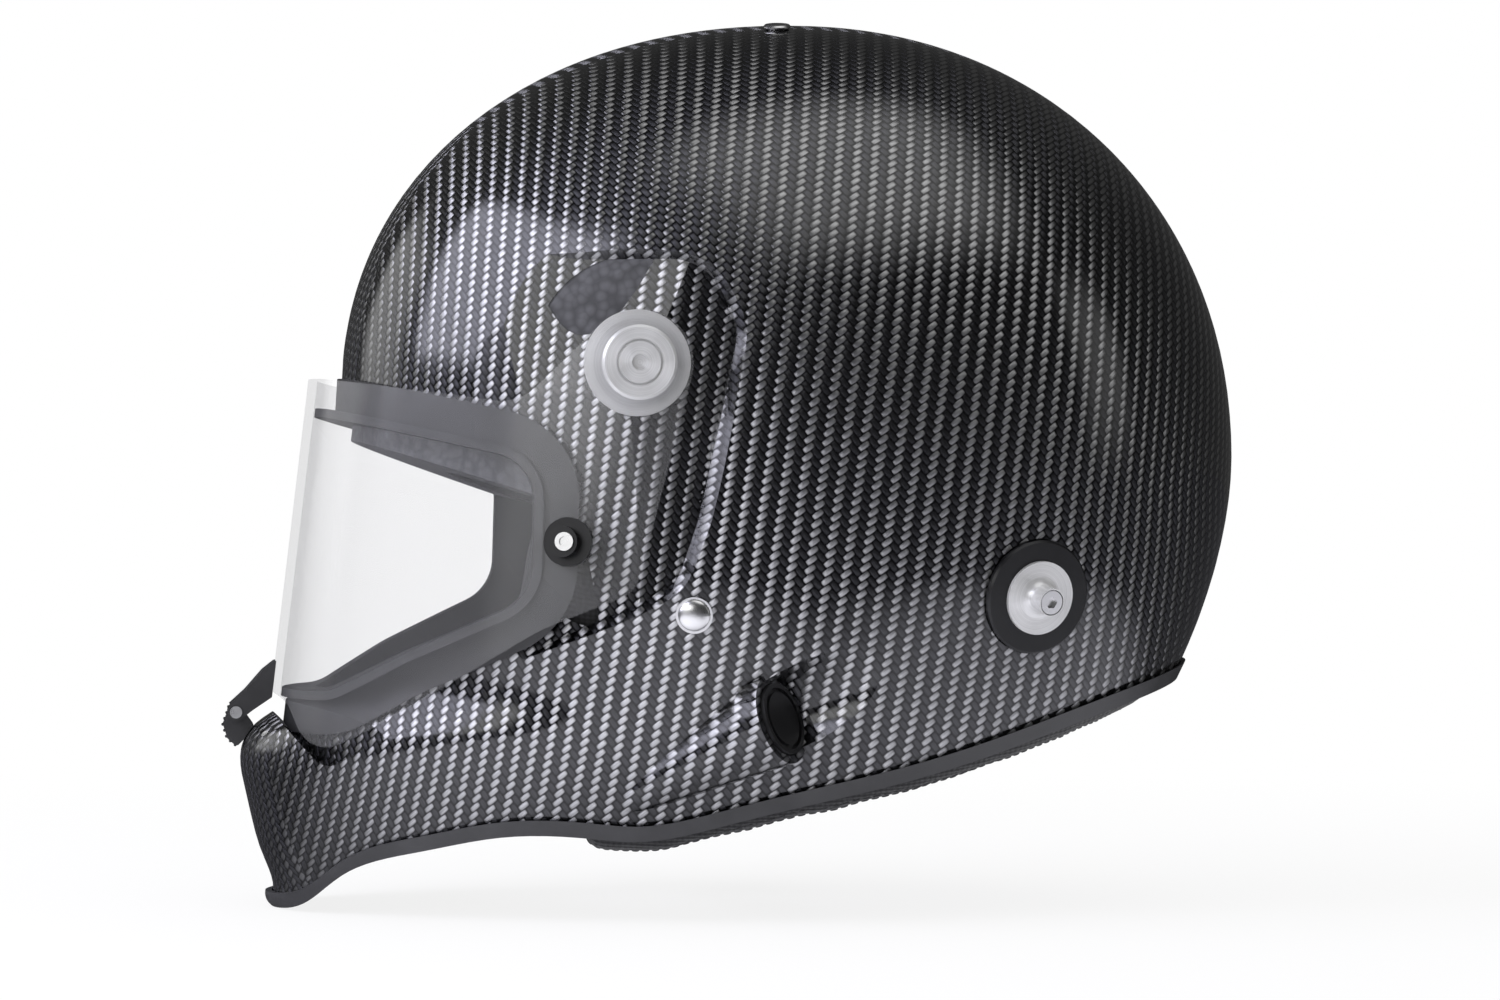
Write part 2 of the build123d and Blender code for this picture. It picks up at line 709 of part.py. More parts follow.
def liner_zone(growth=0.0):
    """Give the zone over the impact liner's lower edge, across the helmet, grown by a gap."""
    face = side_outline(EPS_SHARES, EPS_ROUNDING_SHARES)
    return side_prism(offset(face, growth) if growth else face)


def spigot_room():
    """Give the space round the left pivot plate's spigot inside the shell."""
    return disc(pivot_plane(), SPIGOT_RADIUS + POCKET_ROOM, -SPIGOT_ROOM_DEPTH, 0)


def nut_room():
    """Give the space round the left tether nut inside the shell."""
    return disc(tether_plane(), NUT_RADIUS + POCKET_ROOM, -NUT_DEPTH - POCKET_ROOM, 0)


def eps_liner():
    """Model the impact liner between the shell and the comfort liner."""
    liner = (blob(SHELL_WALL + FIT_GAP) & liner_zone()) - head_form(COMFORT_DEPTH + FIT_GAP)
    liner = liner - gasket_room() - floor_room()
    for tool in (spigot_room(), nut_room()):
        liner = liner - both_sides(tool)
    return liner


def crown_pad():
    """Model the comfort liner over the head, in one bowl."""
    zone = side_prism(side_outline(COMFORT_SHARES, EPS_ROUNDING_SHARES))
    return (head_form(COMFORT_DEPTH) - head_form()) & zone


def chin_liner():
    """Model the foam block inside the chin bar."""
    zone = side_prism(side_outline(CHIN_SHARES, CHIN_ROUNDING_SHARES))
    room = oval_column(CHIN_ROOM_SHARES)
    block = (blob(SHELL_WALL + TRIM_SKIN + FIT_GAP) & zone) - room - below_rim(TRIM_GRIP + FIT_GAP)
    return block - eye_prism(GASKET_REVEAL + GASKET_GRIP + FIT_GAP) - floor_room()


def oval_column(shares):
    """Model an upright oval column: half width, half length and middle, as shares."""
    half_width = shares[0] * HELMET_WIDTH
    half_length = shares[1] * HELMET_LENGTH
    middle = shares[2] * HELMET_LENGTH
    oval = Plane((0, middle, -HELMET_HEIGHT)) * Ellipse(half_width, half_length)
    return extrude(oval, amount=2 * HELMET_HEIGHT)


def neck_roll():
    """Model the padded roll inside the shell's bottom edge, from cheek to cheek round the nape."""
    front = NECK_FRONT_SHARE * HELMET_LENGTH
    band = below_rim(NECK_TOP) - below_rim(-NECK_DROP)
    behind = Pos(0, front, 0) * Box(2 * HELMET_WIDTH, 2 * HELMET_LENGTH, 3 * HELMET_HEIGHT, align=BEHIND_ALIGN)
    roll = (blob(SHELL_WALL + TRIM_SKIN + FIT_GAP) & band & behind) - oval_column(NECK_ROOM_SHARES)
    strap = strap_band(0, CHIN_LEVEL_SHARE * HELMET_HEIGHT, FIT_GAP)
    return roll - both_sides(port_room(FIT_GAP)) - liner_zone(FIT_GAP) - both_sides(strap)


def cheek_pad():
    """Model the left cheek pad, crowned toward the cheek and shaped to the shell outside."""
    middle = place(CHEEK_MIDDLE_SHARES)
    sections = []
    for reach, size in zip(CHEEK_REACH_SHARES, CHEEK_SIZE_SHARES):
        plane = Plane(origin=(reach * HELMET_WIDTH, *middle), x_dir=(0, 1, 0), z_dir=(1, 0, 0))
        length = CHEEK_LENGTH_SHARE * HELMET_LENGTH * size
        height = CHEEK_HEIGHT_SHARE * HELMET_HEIGHT * size
        sections.append(plane * Rot(0, 0, CHEEK_TURN) * RectangleRounded(length, height, height * CHEEK_ROUND_SHARE))
    pad = loft(sections) & blob(SHELL_WALL + STRAP_ROOM)
    pad = pad - liner_zone(FIT_GAP) - below_rim(NECK_TOP + FIT_GAP) - floor_room() - gasket_room()
    pad = pad - disc(rivet_plane(), RIVET_FLANGE_RADIUS + FIT_GAP, -RIVET_POCKET_DEPTH, 0)
    return pad - port_room(FIT_GAP)


def pivot_plate():
    """Model the left base plate: a disc in its seat, a spigot in the shell and a bush."""
    pivot = pivot_plane()
    plate = disc(pivot, PLATE_RADIUS, 0, PLATE_THICKNESS)
    spigot = disc(pivot, SPIGOT_RADIUS, -SPIGOT_LENGTH, 0)
    bush = disc(pivot, BUSH_RADIUS, 0, hub_end() + FIT_GAP)
    bore = disc(pivot, PIVOT_SCREW_RADIUS + FIT_GAP, -SPIGOT_LENGTH / 2, DRILL_DEPTH)
    return plate + spigot + bush - bore


def pivot_screw():
    """Model the left pivot screw: a stepped silver disc with a socket and a shank."""
    pivot = pivot_plane()
    base = hub_end() + 2 * FIT_GAP
    top = base + PIVOT_DISC_THICKNESS
    head = disc(pivot, PIVOT_DISC_RADIUS, base, top)
    head = chamfer(head.edges().group_by(Axis.X)[-1], PIVOT_DISC_THICKNESS / 3)
    groove = disc(pivot, GROOVE_RADIUS, top - GROOVE_DEPTH, top) - disc(
        pivot, INNER_DISC_RADIUS, top - GROOVE_DEPTH, top
    )
    boss = disc(pivot, INNER_DISC_RADIUS, top - GROOVE_DEPTH, top + INNER_DISC_RISE)
    socket = disc(pivot, SOCKET_RADIUS, top - GROOVE_DEPTH, top + DRILL_DEPTH)
    shank = disc(pivot, PIVOT_SCREW_RADIUS, base - PIVOT_SHANK_LENGTH, base)
    return head - groove + boss - socket + shank


def tether_washer():
    """Model the left black washer of the head-restraint tether anchor."""
    plane = tether_plane()
    washer = disc(plane, WASHER_RADIUS, FIT_GAP / 3, WASHER_THICKNESS)
    washer = chamfer(washer.edges().group_by(SortBy.LENGTH)[-1], WASHER_THICKNESS / 4)
    return washer - disc(plane, TETHER_BOLT_RADIUS + FIT_GAP, -1, DRILL_DEPTH)


def tether_post():
    """Revolve the left tether post: a foot disc that flares into a straight post."""
    foot = TETHER_FOOT_RADIUS
    stem = TETHER_POST_RADIUS
    low = FOOT_THICKNESS
    top = low + FLARE_RADIUS + TETHER_POST_LENGTH
    bore = TETHER_BOLT_RADIUS + FIT_GAP
    head = TETHER_HEAD_RADIUS + FIT_GAP
    seat = top - TETHER_HEAD_DEPTH
    flare = RadiusArc((stem + FLARE_RADIUS, low), (stem, low + FLARE_RADIUS), FLARE_RADIUS)
    outline = [
        Polyline((bore, 0), (foot, 0), (foot, low), (stem + FLARE_RADIUS, low)),
        flare,
        Polyline((stem, low + FLARE_RADIUS), (stem, top), (head, top), (head, seat), (bore, seat), (bore, 0)),
    ]
    turned = revolve(Plane.XZ * make_face(Curve(children=outline)), Axis.Z)
    return tether_plane().offset(WASHER_THICKNESS + FIT_GAP / 3) * turned


def tether_screw():
    """Model the left tether bolt with its hex socket, shank and inner nut plate."""
    plane = tether_plane()
    seat = WASHER_THICKNESS + FOOT_THICKNESS + FLARE_RADIUS + TETHER_POST_LENGTH - TETHER_HEAD_DEPTH + 2 * FIT_GAP / 3
    head = disc(plane, TETHER_HEAD_RADIUS, seat, seat + TETHER_HEAD_DEPTH - FIT_GAP)
    hexagon = plane.offset(seat + 1) * extrude(RegularPolygon(HEX_RADIUS, 6), amount=DRILL_DEPTH)
    under = -SHELL_WALL + TETHER_SEAT_DEPTH - NUT_GAP
    shank = disc(plane, TETHER_BOLT_RADIUS, under - NUT_THICKNESS, seat)
    nut = disc(plane, NUT_RADIUS, under - NUT_THICKNESS, under)
    return head - hexagon + shank + nut


def strap_rivet():
    """Model the left strap rivet: a domed head outside and a flat head inside."""
    plane = rivet_plane()
    rim = disc(plane, RIVET_FLANGE_RADIUS, FIT_GAP / 3, RIVET_FLANGE_THICKNESS)
    bulge = Sphere(RIVET_DOME_RADIUS) & Pos(0, 0, 0) * Cylinder(
        RIVET_DOME_RADIUS, RIVET_DOME_RADIUS, align=BASE_ALIGN
    )
    dome = plane.offset(RIVET_FLANGE_THICKNESS) * scale(bulge, by=(1, 1, RIVET_DOME_SQUASH))
    inner = -SHELL_WALL - STRAP_GAP - STRAP_THICKNESS - FIT_GAP
    shank = disc(plane, RIVET_SHANK_RADIUS, inner, RIVET_FLANGE_THICKNESS)
    return rim + dome + shank + disc(plane, RIVET_FLANGE_RADIUS, inner - RIVET_HEAD_THICKNESS, inner)


def crown_plug():
    """Model the left crown plug: a low domed button on a shank."""
    plane = crown_plug_plane()
    head = disc(plane, PLUG_RADIUS, PLUG_GAP, PLUG_THICKNESS)
    head = chamfer(head.edges().group_by(SortBy.LENGTH)[-1], PLUG_THICKNESS / 3)
    return head + disc(plane, PLUG_SHANK_RADIUS, -SHELL_WALL, PLUG_GAP)


def port_plug():
    """Model the left port plug: a stepped black disc in the cowl's cup."""
    plane = port_plane()
    body = disc(plane, PORT_RADIUS - FIT_GAP, -PORT_PLUG_DEPTH, PORT_PLUG_PROUD)
    ring_cut = disc(plane, PORT_RING_RADIUS, 0, DRILL_DEPTH) - disc(plane, PORT_CAP_RADIUS, 0, DRILL_DEPTH)
    return body - ring_cut


def tear_off_post():
    """Model the left tear-off post: a flanged button with a raised boss."""
    plane = post_plane()
    flange = disc(plane, POST_FLANGE_RADIUS, FIT_GAP, POST_FLANGE_THICKNESS)
    boss = plane.offset(POST_FLANGE_THICKNESS) * Pos(-POST_BOSS_SHIFT, 0, 0) * Cylinder(
        POST_BOSS_RADIUS, POST_BOSS_LENGTH, align=BASE_ALIGN
    )
    bore = disc(plane, POST_BOLT_RADIUS + FIT_GAP, -1, DRILL_DEPTH)
    return flange + boss - bore


def tear_off_screw():
    """Model the left tear-off screw with its socket head and inner nut."""
    plane = post_plane()
    seat = POST_FLANGE_THICKNESS + POST_BOSS_LENGTH + FIT_GAP / 3
    head = disc(plane, POST_HEAD_RADIUS, seat, seat + POST_HEAD_THICKNESS)
    socket = disc(plane, POST_SOCKET_RADIUS, seat + POST_HEAD_THICKNESS / 3, DRILL_DEPTH)
    back = -VISOR_WALL - FIT_GAP
    shank = disc(plane, POST_BOLT_RADIUS, back - POST_NUT_THICKNESS, seat)
    return head - socket + shank + disc(plane, POST_HEAD_RADIUS, back - POST_NUT_THICKNESS, back)


def strap_slope():
    """Give how far the shell side moves outward for each step rearward at the rivet."""
    normal = rivet_plane().z_dir
    return -normal.Y / normal.X


def strap_edge(last_x, level, depth):
    """Draw a left strap's edge in the front view, at a depth in the webbing: down the shell, then across."""
    y, rivet = place(RIVET_SHARES)
    inset = SHELL_WALL + STRAP_GAP + depth
    start = rivet + STRAP_WIDTH / 2
    fall = (start - STRAP_BEND_SHARE * HELMET_HEIGHT) / STRAP_STEPS
    levels = [start - fall * number for number in range(STRAP_STEPS + 1)]
    side = [(shell_side(y, height, inset), height) for height in levels]
    flat = level - STRAP_THICKNESS / 2 + depth
    turn = (side[-1][0] - STRAP_SWEEP_SHARE * HELMET_WIDTH, flat)
    fall_way = (side[1][0] - side[0][0], side[1][1] - side[0][1])
    return Curve(children=[Spline(*side, turn, tangents=[fall_way, (-1, 0)]), Line(turn, (last_x, flat))])


def strap_band(last_x, level, growth=0.0):
    """Model a left strap from its rivet down the shell and across the opening, grown by a gap."""
    outer = strap_edge(last_x, level, -growth)
    inner = strap_edge(last_x, level, STRAP_THICKNESS + growth)
    ends = [Line(outer @ 0, inner @ 0), Line(outer @ 1, inner @ 1)]
    face = make_face(outer.edges() + inner.edges() + ends)
    half = STRAP_WIDTH / 2 + growth
    slope = strap_slope()
    plane = Plane(origin=(slope * half, place(RIVET_SHARES)[0] + half, 0), x_dir=(1, 0, 0), z_dir=(0, -1, 0))
    band = extrude(plane * face, amount=2 * half, dir=(-slope, -1, 0))
    return (band & blob(SHELL_WALL + FIT_GAP - growth)) - floor_room() - port_room(FIT_GAP)


def ring_places():
    """List the bar centres of the two D-rings in the front view."""
    x = -RING_PLACE_SHARE * HELMET_WIDTH
    level = CHIN_LEVEL_SHARE * HELMET_HEIGHT
    half = RING_WIRE + BAR_GAP
    return [(x, level + half), (x, level - half)]


def chin_strap_left():
    """Model the long strap: from the left rivet down the shell, then across to its free end."""
    level = CHIN_LEVEL_SHARE * HELMET_HEIGHT
    band = strap_band(LONG_STRAP_END_SHARE * HELMET_WIDTH, level)
    hole = disc(rivet_plane(), RIVET_SHANK_RADIUS + FIT_GAP, -DRILL_DEPTH, 0)
    return band - hole


def chin_strap_right():
    """Model the short strap: from the right rivet to the loop that carries the rings."""
    upper, lower = ring_places()
    middle = (upper[1] + lower[1]) / 2
    loop_x = -upper[0]
    band = strap_band(loop_x, middle)
    y = place(RIVET_SHARES)[0]
    plane = Plane(origin=(loop_x, y, middle), x_dir=(0, 0, 1), z_dir=(0, -1, 0))
    loop = SlotCenterToCenter(upper[1] - lower[1], 2 * (RING_WIRE + BAR_GAP + STRAP_THICKNESS))
    hole = SlotCenterToCenter(upper[1] - lower[1], 2 * (RING_WIRE + BAR_GAP))
    body = band + extrude(plane * loop, amount=STRAP_WIDTH / 2, both=True)
    body = body - extrude(plane * hole, amount=STRAP_WIDTH, both=True)
    body = body - disc(rivet_plane(), RIVET_SHANK_RADIUS + FIT_GAP, -DRILL_DEPTH, 0)
    return mirror(body, about=Plane.YZ)


def d_ring(bar):
    """Sweep a D-ring of round wire, its straight bar along the strap's width."""
    x, level = bar
    y = place(RIVET_SHARES)[0]
    half = RING_OPENING / 2
    plane = Plane(origin=(x, y, level), x_dir=(1, 0, 0), z_dir=(0, 0, 1))
    straight = Line((0, -half), (0, half))
    lower_side = Line((RING_SIDE, -half), (0, -half))
    upper_side = Line((0, half), (RING_SIDE, half))
    bow = ThreePointArc((RING_SIDE, half), (RING_SIDE + half, 0), (RING_SIDE, -half))
    path = plane * Wire([straight, upper_side, bow, lower_side])
    start = Plane(origin=path @ 0.1, z_dir=path % 0.1)
    return sweep(start * Circle(RING_WIRE), path, transition=Transition.RIGHT)


def strap_snap():
    """Model the snap cap under the long strap's free end, with its stud through the webbing."""
    level = CHIN_LEVEL_SHARE * HELMET_HEIGHT - STRAP_THICKNESS / 2
    x = LONG_STRAP_END_SHARE * HELMET_WIDTH + STRAP_WIDTH / 2
    plane = Plane(origin=(x, place(RIVET_SHARES)[0], level), x_dir=(1, 0, 0), z_dir=(0, 0, -1))
    cap = disc(plane, SNAP_RADIUS, FIT_GAP / 3, SNAP_THICKNESS)
    return chamfer(cap.edges().group_by(Axis.Z)[0], SNAP_THICKNESS / 3)


def latch_pin_place():
    """Give the (Y, Z) place of the latch pin."""
    return place(LATCH_PIN_SHARES)


def latch_plate(outline, rounding, width):
    """Extrude a latch outline, drawn from the pin in the side view, across X."""
    y, z = latch_pin_place()
    radii = [share * LATCH_SIZE for share in rounding]
    places = [(a * LATCH_SIZE, b * LATCH_SIZE) for a, b in outline]
    flat = FilletPolyline(*places, radius=radii, close=True)
    plane = Plane(origin=(0, y, z), x_dir=(0, 1, 0), z_dir=(1, 0, 0))
    return extrude(plane * make_face(flat), amount=width / 2, both=True)


def pin_plane(start):
    """Place a plane on the latch pin's axis at a distance across X."""
    y, z = latch_pin_place()
    return Plane(origin=(start, y, z), x_dir=(0, 1, 0), z_dir=(1, 0, 0))


def latch_bracket():
    """Model the bracket on the visor's lower middle with two ears for the lever's pin."""
    body = latch_plate(BRACKET_SHARES, BRACKET_ROUNDING_SHARES, LATCH_WIDTH)
    body = body + pin_plane(-LATCH_WIDTH / 2) * Cylinder(LATCH_EYE_RADIUS, LATCH_WIDTH, align=BASE_ALIGN)
    gap = LEVER_WIDTH + 2 * FIT_GAP
    room = pin_plane(-gap / 2) * Cylinder(LATCH_ROOM_RADIUS, gap, align=BASE_ALIGN)
    bore = pin_plane(-LATCH_WIDTH) * Cylinder(LATCH_PIN_RADIUS + RUNNING_FIT, 2 * LATCH_WIDTH, align=BASE_ALIGN)
    return body - room - bore - visor_block(-FIT_GAP / 3)


def latch_lever():
    """Model the thumb lever that turns on the pin between the bracket's ears."""
    grip = latch_plate(LEVER_SHARES, LEVER_ROUNDING_SHARES, LEVER_WIDTH)
    eye = pin_plane(-LEVER_WIDTH / 2) * Cylinder(LATCH_EYE_RADIUS, LEVER_WIDTH, align=BASE_ALIGN)
    bore = pin_plane(-LATCH_WIDTH) * Cylinder(LATCH_PIN_RADIUS + RUNNING_FIT, 2 * LATCH_WIDTH, align=BASE_ALIGN)
    return grip + eye - bore - blob(-FIT_GAP)


def latch_pin():
    """Model the latch pin with its two small heads."""
    length = LATCH_WIDTH + 2 * FIT_GAP
    pin = pin_plane(-length / 2) * Cylinder(LATCH_PIN_RADIUS, length, align=BASE_ALIGN)
    near = pin_plane(length / 2) * Cylinder(LATCH_HEAD_RADIUS, LATCH_HEAD_THICKNESS, align=BASE_ALIGN)
    return pin + near + mirror(near, about=Plane.YZ)


PIECES = {
    "outer_shell": outer_shell,
    "eyeport_gasket": eyeport_gasket,
    "edge_trim": edge_trim,
    "eps_liner": eps_liner,
    "crown_pad": crown_pad,
    "chin_liner": chin_liner,
    "neck_roll": neck_roll,
    "cheek_pad_left": cheek_pad,
    "cheek_pad_right": lambda: mirror(cheek_pad(), about=Plane.YZ),
    "pivot_plates": lambda: pair(pivot_plate()),
    "pivot_screws": lambda: pair(pivot_screw()),
    "tether_washers": lambda: pair(tether_washer()),
    "tether_posts": lambda: pair(tether_post()),
    "tether_screws": lambda: pair(tether_screw()),
    "strap_rivets": lambda: pair(strap_rivet()),
    "crown_plugs": lambda: pair(crown_plug()),
    "port_plugs": lambda: pair(port_plug()),
    "chin_strap_left": chin_strap_left,
    "chin_strap_right": chin_strap_right,
    "strap_snap": strap_snap,
    "d_ring_upper": lambda: d_ring(ring_places()[0]),
    "d_ring_lower": lambda: d_ring(ring_places()[1]),
    "visor_lens": visor_lens,
    "tear_off_posts": lambda: pair(tear_off_post()),
    "tear_off_screws": lambda: pair(tear_off_screw()),
    "latch_bracket": latch_bracket,
    "latch_lever": latch_lever,
    "latch_pin": latch_pin,
}


os.makedirs("parts", exist_ok=True)
for name, make in PIECES.items():
    export_step(make(), "parts/" + name + ".step")
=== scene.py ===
"""Looks of an auto racing helmet: carbon shell, clear visor, rubber, metal, padding and studio."""

import logging
import math
from dataclasses import dataclass
from enum import Enum
from typing import Iterable, Optional, Union

import bmesh
import bpy
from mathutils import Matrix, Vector
from mathutils.bvhtree import BVHTree


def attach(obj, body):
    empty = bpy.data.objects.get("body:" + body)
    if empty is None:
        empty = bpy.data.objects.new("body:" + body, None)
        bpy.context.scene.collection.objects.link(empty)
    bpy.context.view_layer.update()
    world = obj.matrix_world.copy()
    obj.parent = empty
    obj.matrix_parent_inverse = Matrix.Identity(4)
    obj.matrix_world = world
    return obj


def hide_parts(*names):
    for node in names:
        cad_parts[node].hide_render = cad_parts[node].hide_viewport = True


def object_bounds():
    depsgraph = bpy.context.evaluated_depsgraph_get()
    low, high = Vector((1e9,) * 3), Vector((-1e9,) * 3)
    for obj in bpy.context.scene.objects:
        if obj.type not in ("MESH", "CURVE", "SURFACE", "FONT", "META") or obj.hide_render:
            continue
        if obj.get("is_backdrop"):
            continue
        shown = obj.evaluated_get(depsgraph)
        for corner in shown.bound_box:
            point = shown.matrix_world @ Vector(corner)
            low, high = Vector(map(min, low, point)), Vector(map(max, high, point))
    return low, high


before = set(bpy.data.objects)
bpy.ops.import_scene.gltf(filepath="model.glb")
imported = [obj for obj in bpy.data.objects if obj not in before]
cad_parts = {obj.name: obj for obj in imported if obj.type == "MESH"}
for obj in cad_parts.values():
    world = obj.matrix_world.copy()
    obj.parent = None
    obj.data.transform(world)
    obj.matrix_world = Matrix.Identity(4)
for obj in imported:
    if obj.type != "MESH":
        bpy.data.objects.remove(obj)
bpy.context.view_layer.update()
LOG = logging.getLogger("helmet")

MILLIMETRE = 0.001
WELD_DISTANCE = 0.02 * MILLIMETRE
SOFTEN_FACTOR = 0.5
FOLD_WAVELENGTH = 0.028
BELOW = -0.25
NECK_SEAMS = ((0.090, 0.106), (0.094, 0.110))
CHEEK_CENTRE = (-0.055, -0.085)
CHEEK_REACH = (0.030, 0.020)
STRAP_LINE = -0.0422
STRAP_SEAM_OFFSET = 0.0095

Socket = bpy.types.NodeSocket
Feed = Union[float, tuple, Socket]


class Graph:
    """The node tree of one material."""

    def __init__(self, name: str) -> None:
        """Start an empty tree.

        Args:
            name: the material's name.
        """
        self.material = bpy.data.materials.new(name)
        self.material.use_nodes = True
        self.tree = self.material.node_tree
        self.tree.nodes.clear()
        self.output = self.tree.nodes.new("ShaderNodeOutputMaterial")

    def feed(self, socket: Socket, value: Feed) -> None:
        """Link or set an input.

        Args:
            socket: the input.
            value: another node's output, or a plain value.
        """
        if isinstance(value, bpy.types.NodeSocket):
            self.tree.links.new(value, socket)
        else:
            socket.default_value = value

    def node(self, kind: str, inputs: Optional[dict] = None, **settings: object) -> bpy.types.Node:
        """Add a node.

        Args:
            kind: Blender's name of the node's type.
            inputs: values or outputs for its inputs, by name or number.
            settings: properties of the node.

        Returns:
            The node.
        """
        made = self.tree.nodes.new(kind)
        for key, value in settings.items():
            setattr(made, key, value)
        for key, value in (inputs or {}).items():
            self.feed(made.inputs[key], value)
        return made

    def sum(self, operation: str, first: Feed, second: Feed = 0.0, third: Feed = 0.0) -> Socket:
        """Work out a number.

        Args:
            operation: Blender's name of the operation.
            first: the first number.
            second: the second number.
            third: the third number, which few operations read.

        Returns:
            The result's socket.
        """
        return self.node("ShaderNodeMath", {0: first, 1: second, 2: third}, operation=operation).outputs[0]

    def vector(self, operation: str, first: Feed, second: Feed = (0.0, 0.0, 0.0)) -> bpy.types.Node:
        """Work out a vector and return its node, whose outputs are Vector and Value."""
        return self.node("ShaderNodeVectorMath", {0: first, 1: second}, operation=operation)

    def scaled(self, vector: Feed, scale: Feed) -> Socket:
        """Give a vector times a number."""
        made = self.node("ShaderNodeVectorMath", {0: vector, "Scale": scale}, operation="SCALE")
        return made.outputs[0]

    def between(self, share: Feed, first: Feed, second: Feed) -> Socket:
        """Give a number between two, by a share."""
        return self.node("ShaderNodeMix", {0: share, 2: first, 3: second}, data_type="FLOAT").outputs[0]

    def colour(self, share: Feed, first: Feed, second: Feed) -> Socket:
        """Give a colour between two, by a share."""
        return self.node("ShaderNodeMix", {0: share, 6: first, 7: second}, data_type="RGBA").outputs[2]

    def remap(self, value: Feed, low: float, high: float, start: float = 0.0, end: float = 1.0) -> Socket:
        """Ease a number from one range to another, held at the ends."""
        inputs = {"Value": value, "From Min": low, "From Max": high, "To Min": start, "To Max": end}
        return self.node("ShaderNodeMapRange", inputs, interpolation_type="SMOOTHSTEP").outputs[0]

    def place(self) -> Socket:
        """Give the piece's own coordinates, in metres."""
        return self.node("ShaderNodeTexCoord").outputs["Object"]

    def split(self, vector: Feed) -> tuple[Socket, Socket, Socket]:
        """Give a vector's three numbers."""
        made = self.node("ShaderNodeSeparateXYZ", {0: vector})
        return made.outputs[0], made.outputs[1], made.outputs[2]

    def joined(self, x: Feed, y: Feed, z: Feed) -> Socket:
        """Give a vector of three numbers."""
        return self.node("ShaderNodeCombineXYZ", {0: x, 1: y, 2: z}).outputs[0]

    def noise(self, vector: Feed, scale: float, detail: float = 2.0, rough: float = 0.5) -> Socket:
        """Give a cloudy noise from 0 to 1."""
        inputs = {"Vector": vector, "Scale": scale, "Detail": detail, "Roughness": rough}
        return self.node("ShaderNodeTexNoise", inputs, noise_dimensions="3D").outputs[0]

    def bump(self, height: Feed, distance: float, strength: float = 1.0) -> Socket:
        """Give the surface direction of a relief of some depth in metres."""
        inputs = {"Height": height, "Distance": distance, "Strength": strength}
        return self.node("ShaderNodeBump", inputs).outputs[0]

    def principled(self, inputs: dict) -> bpy.types.Node:
        """Add the main shader."""
        return self.node("ShaderNodeBsdfPrincipled", inputs)

    def finish(self, shader: Socket) -> bpy.types.Material:
        """Send a shader to the output and return the material."""
        self.tree.links.new(shader, self.output.inputs["Surface"])
        return self.material


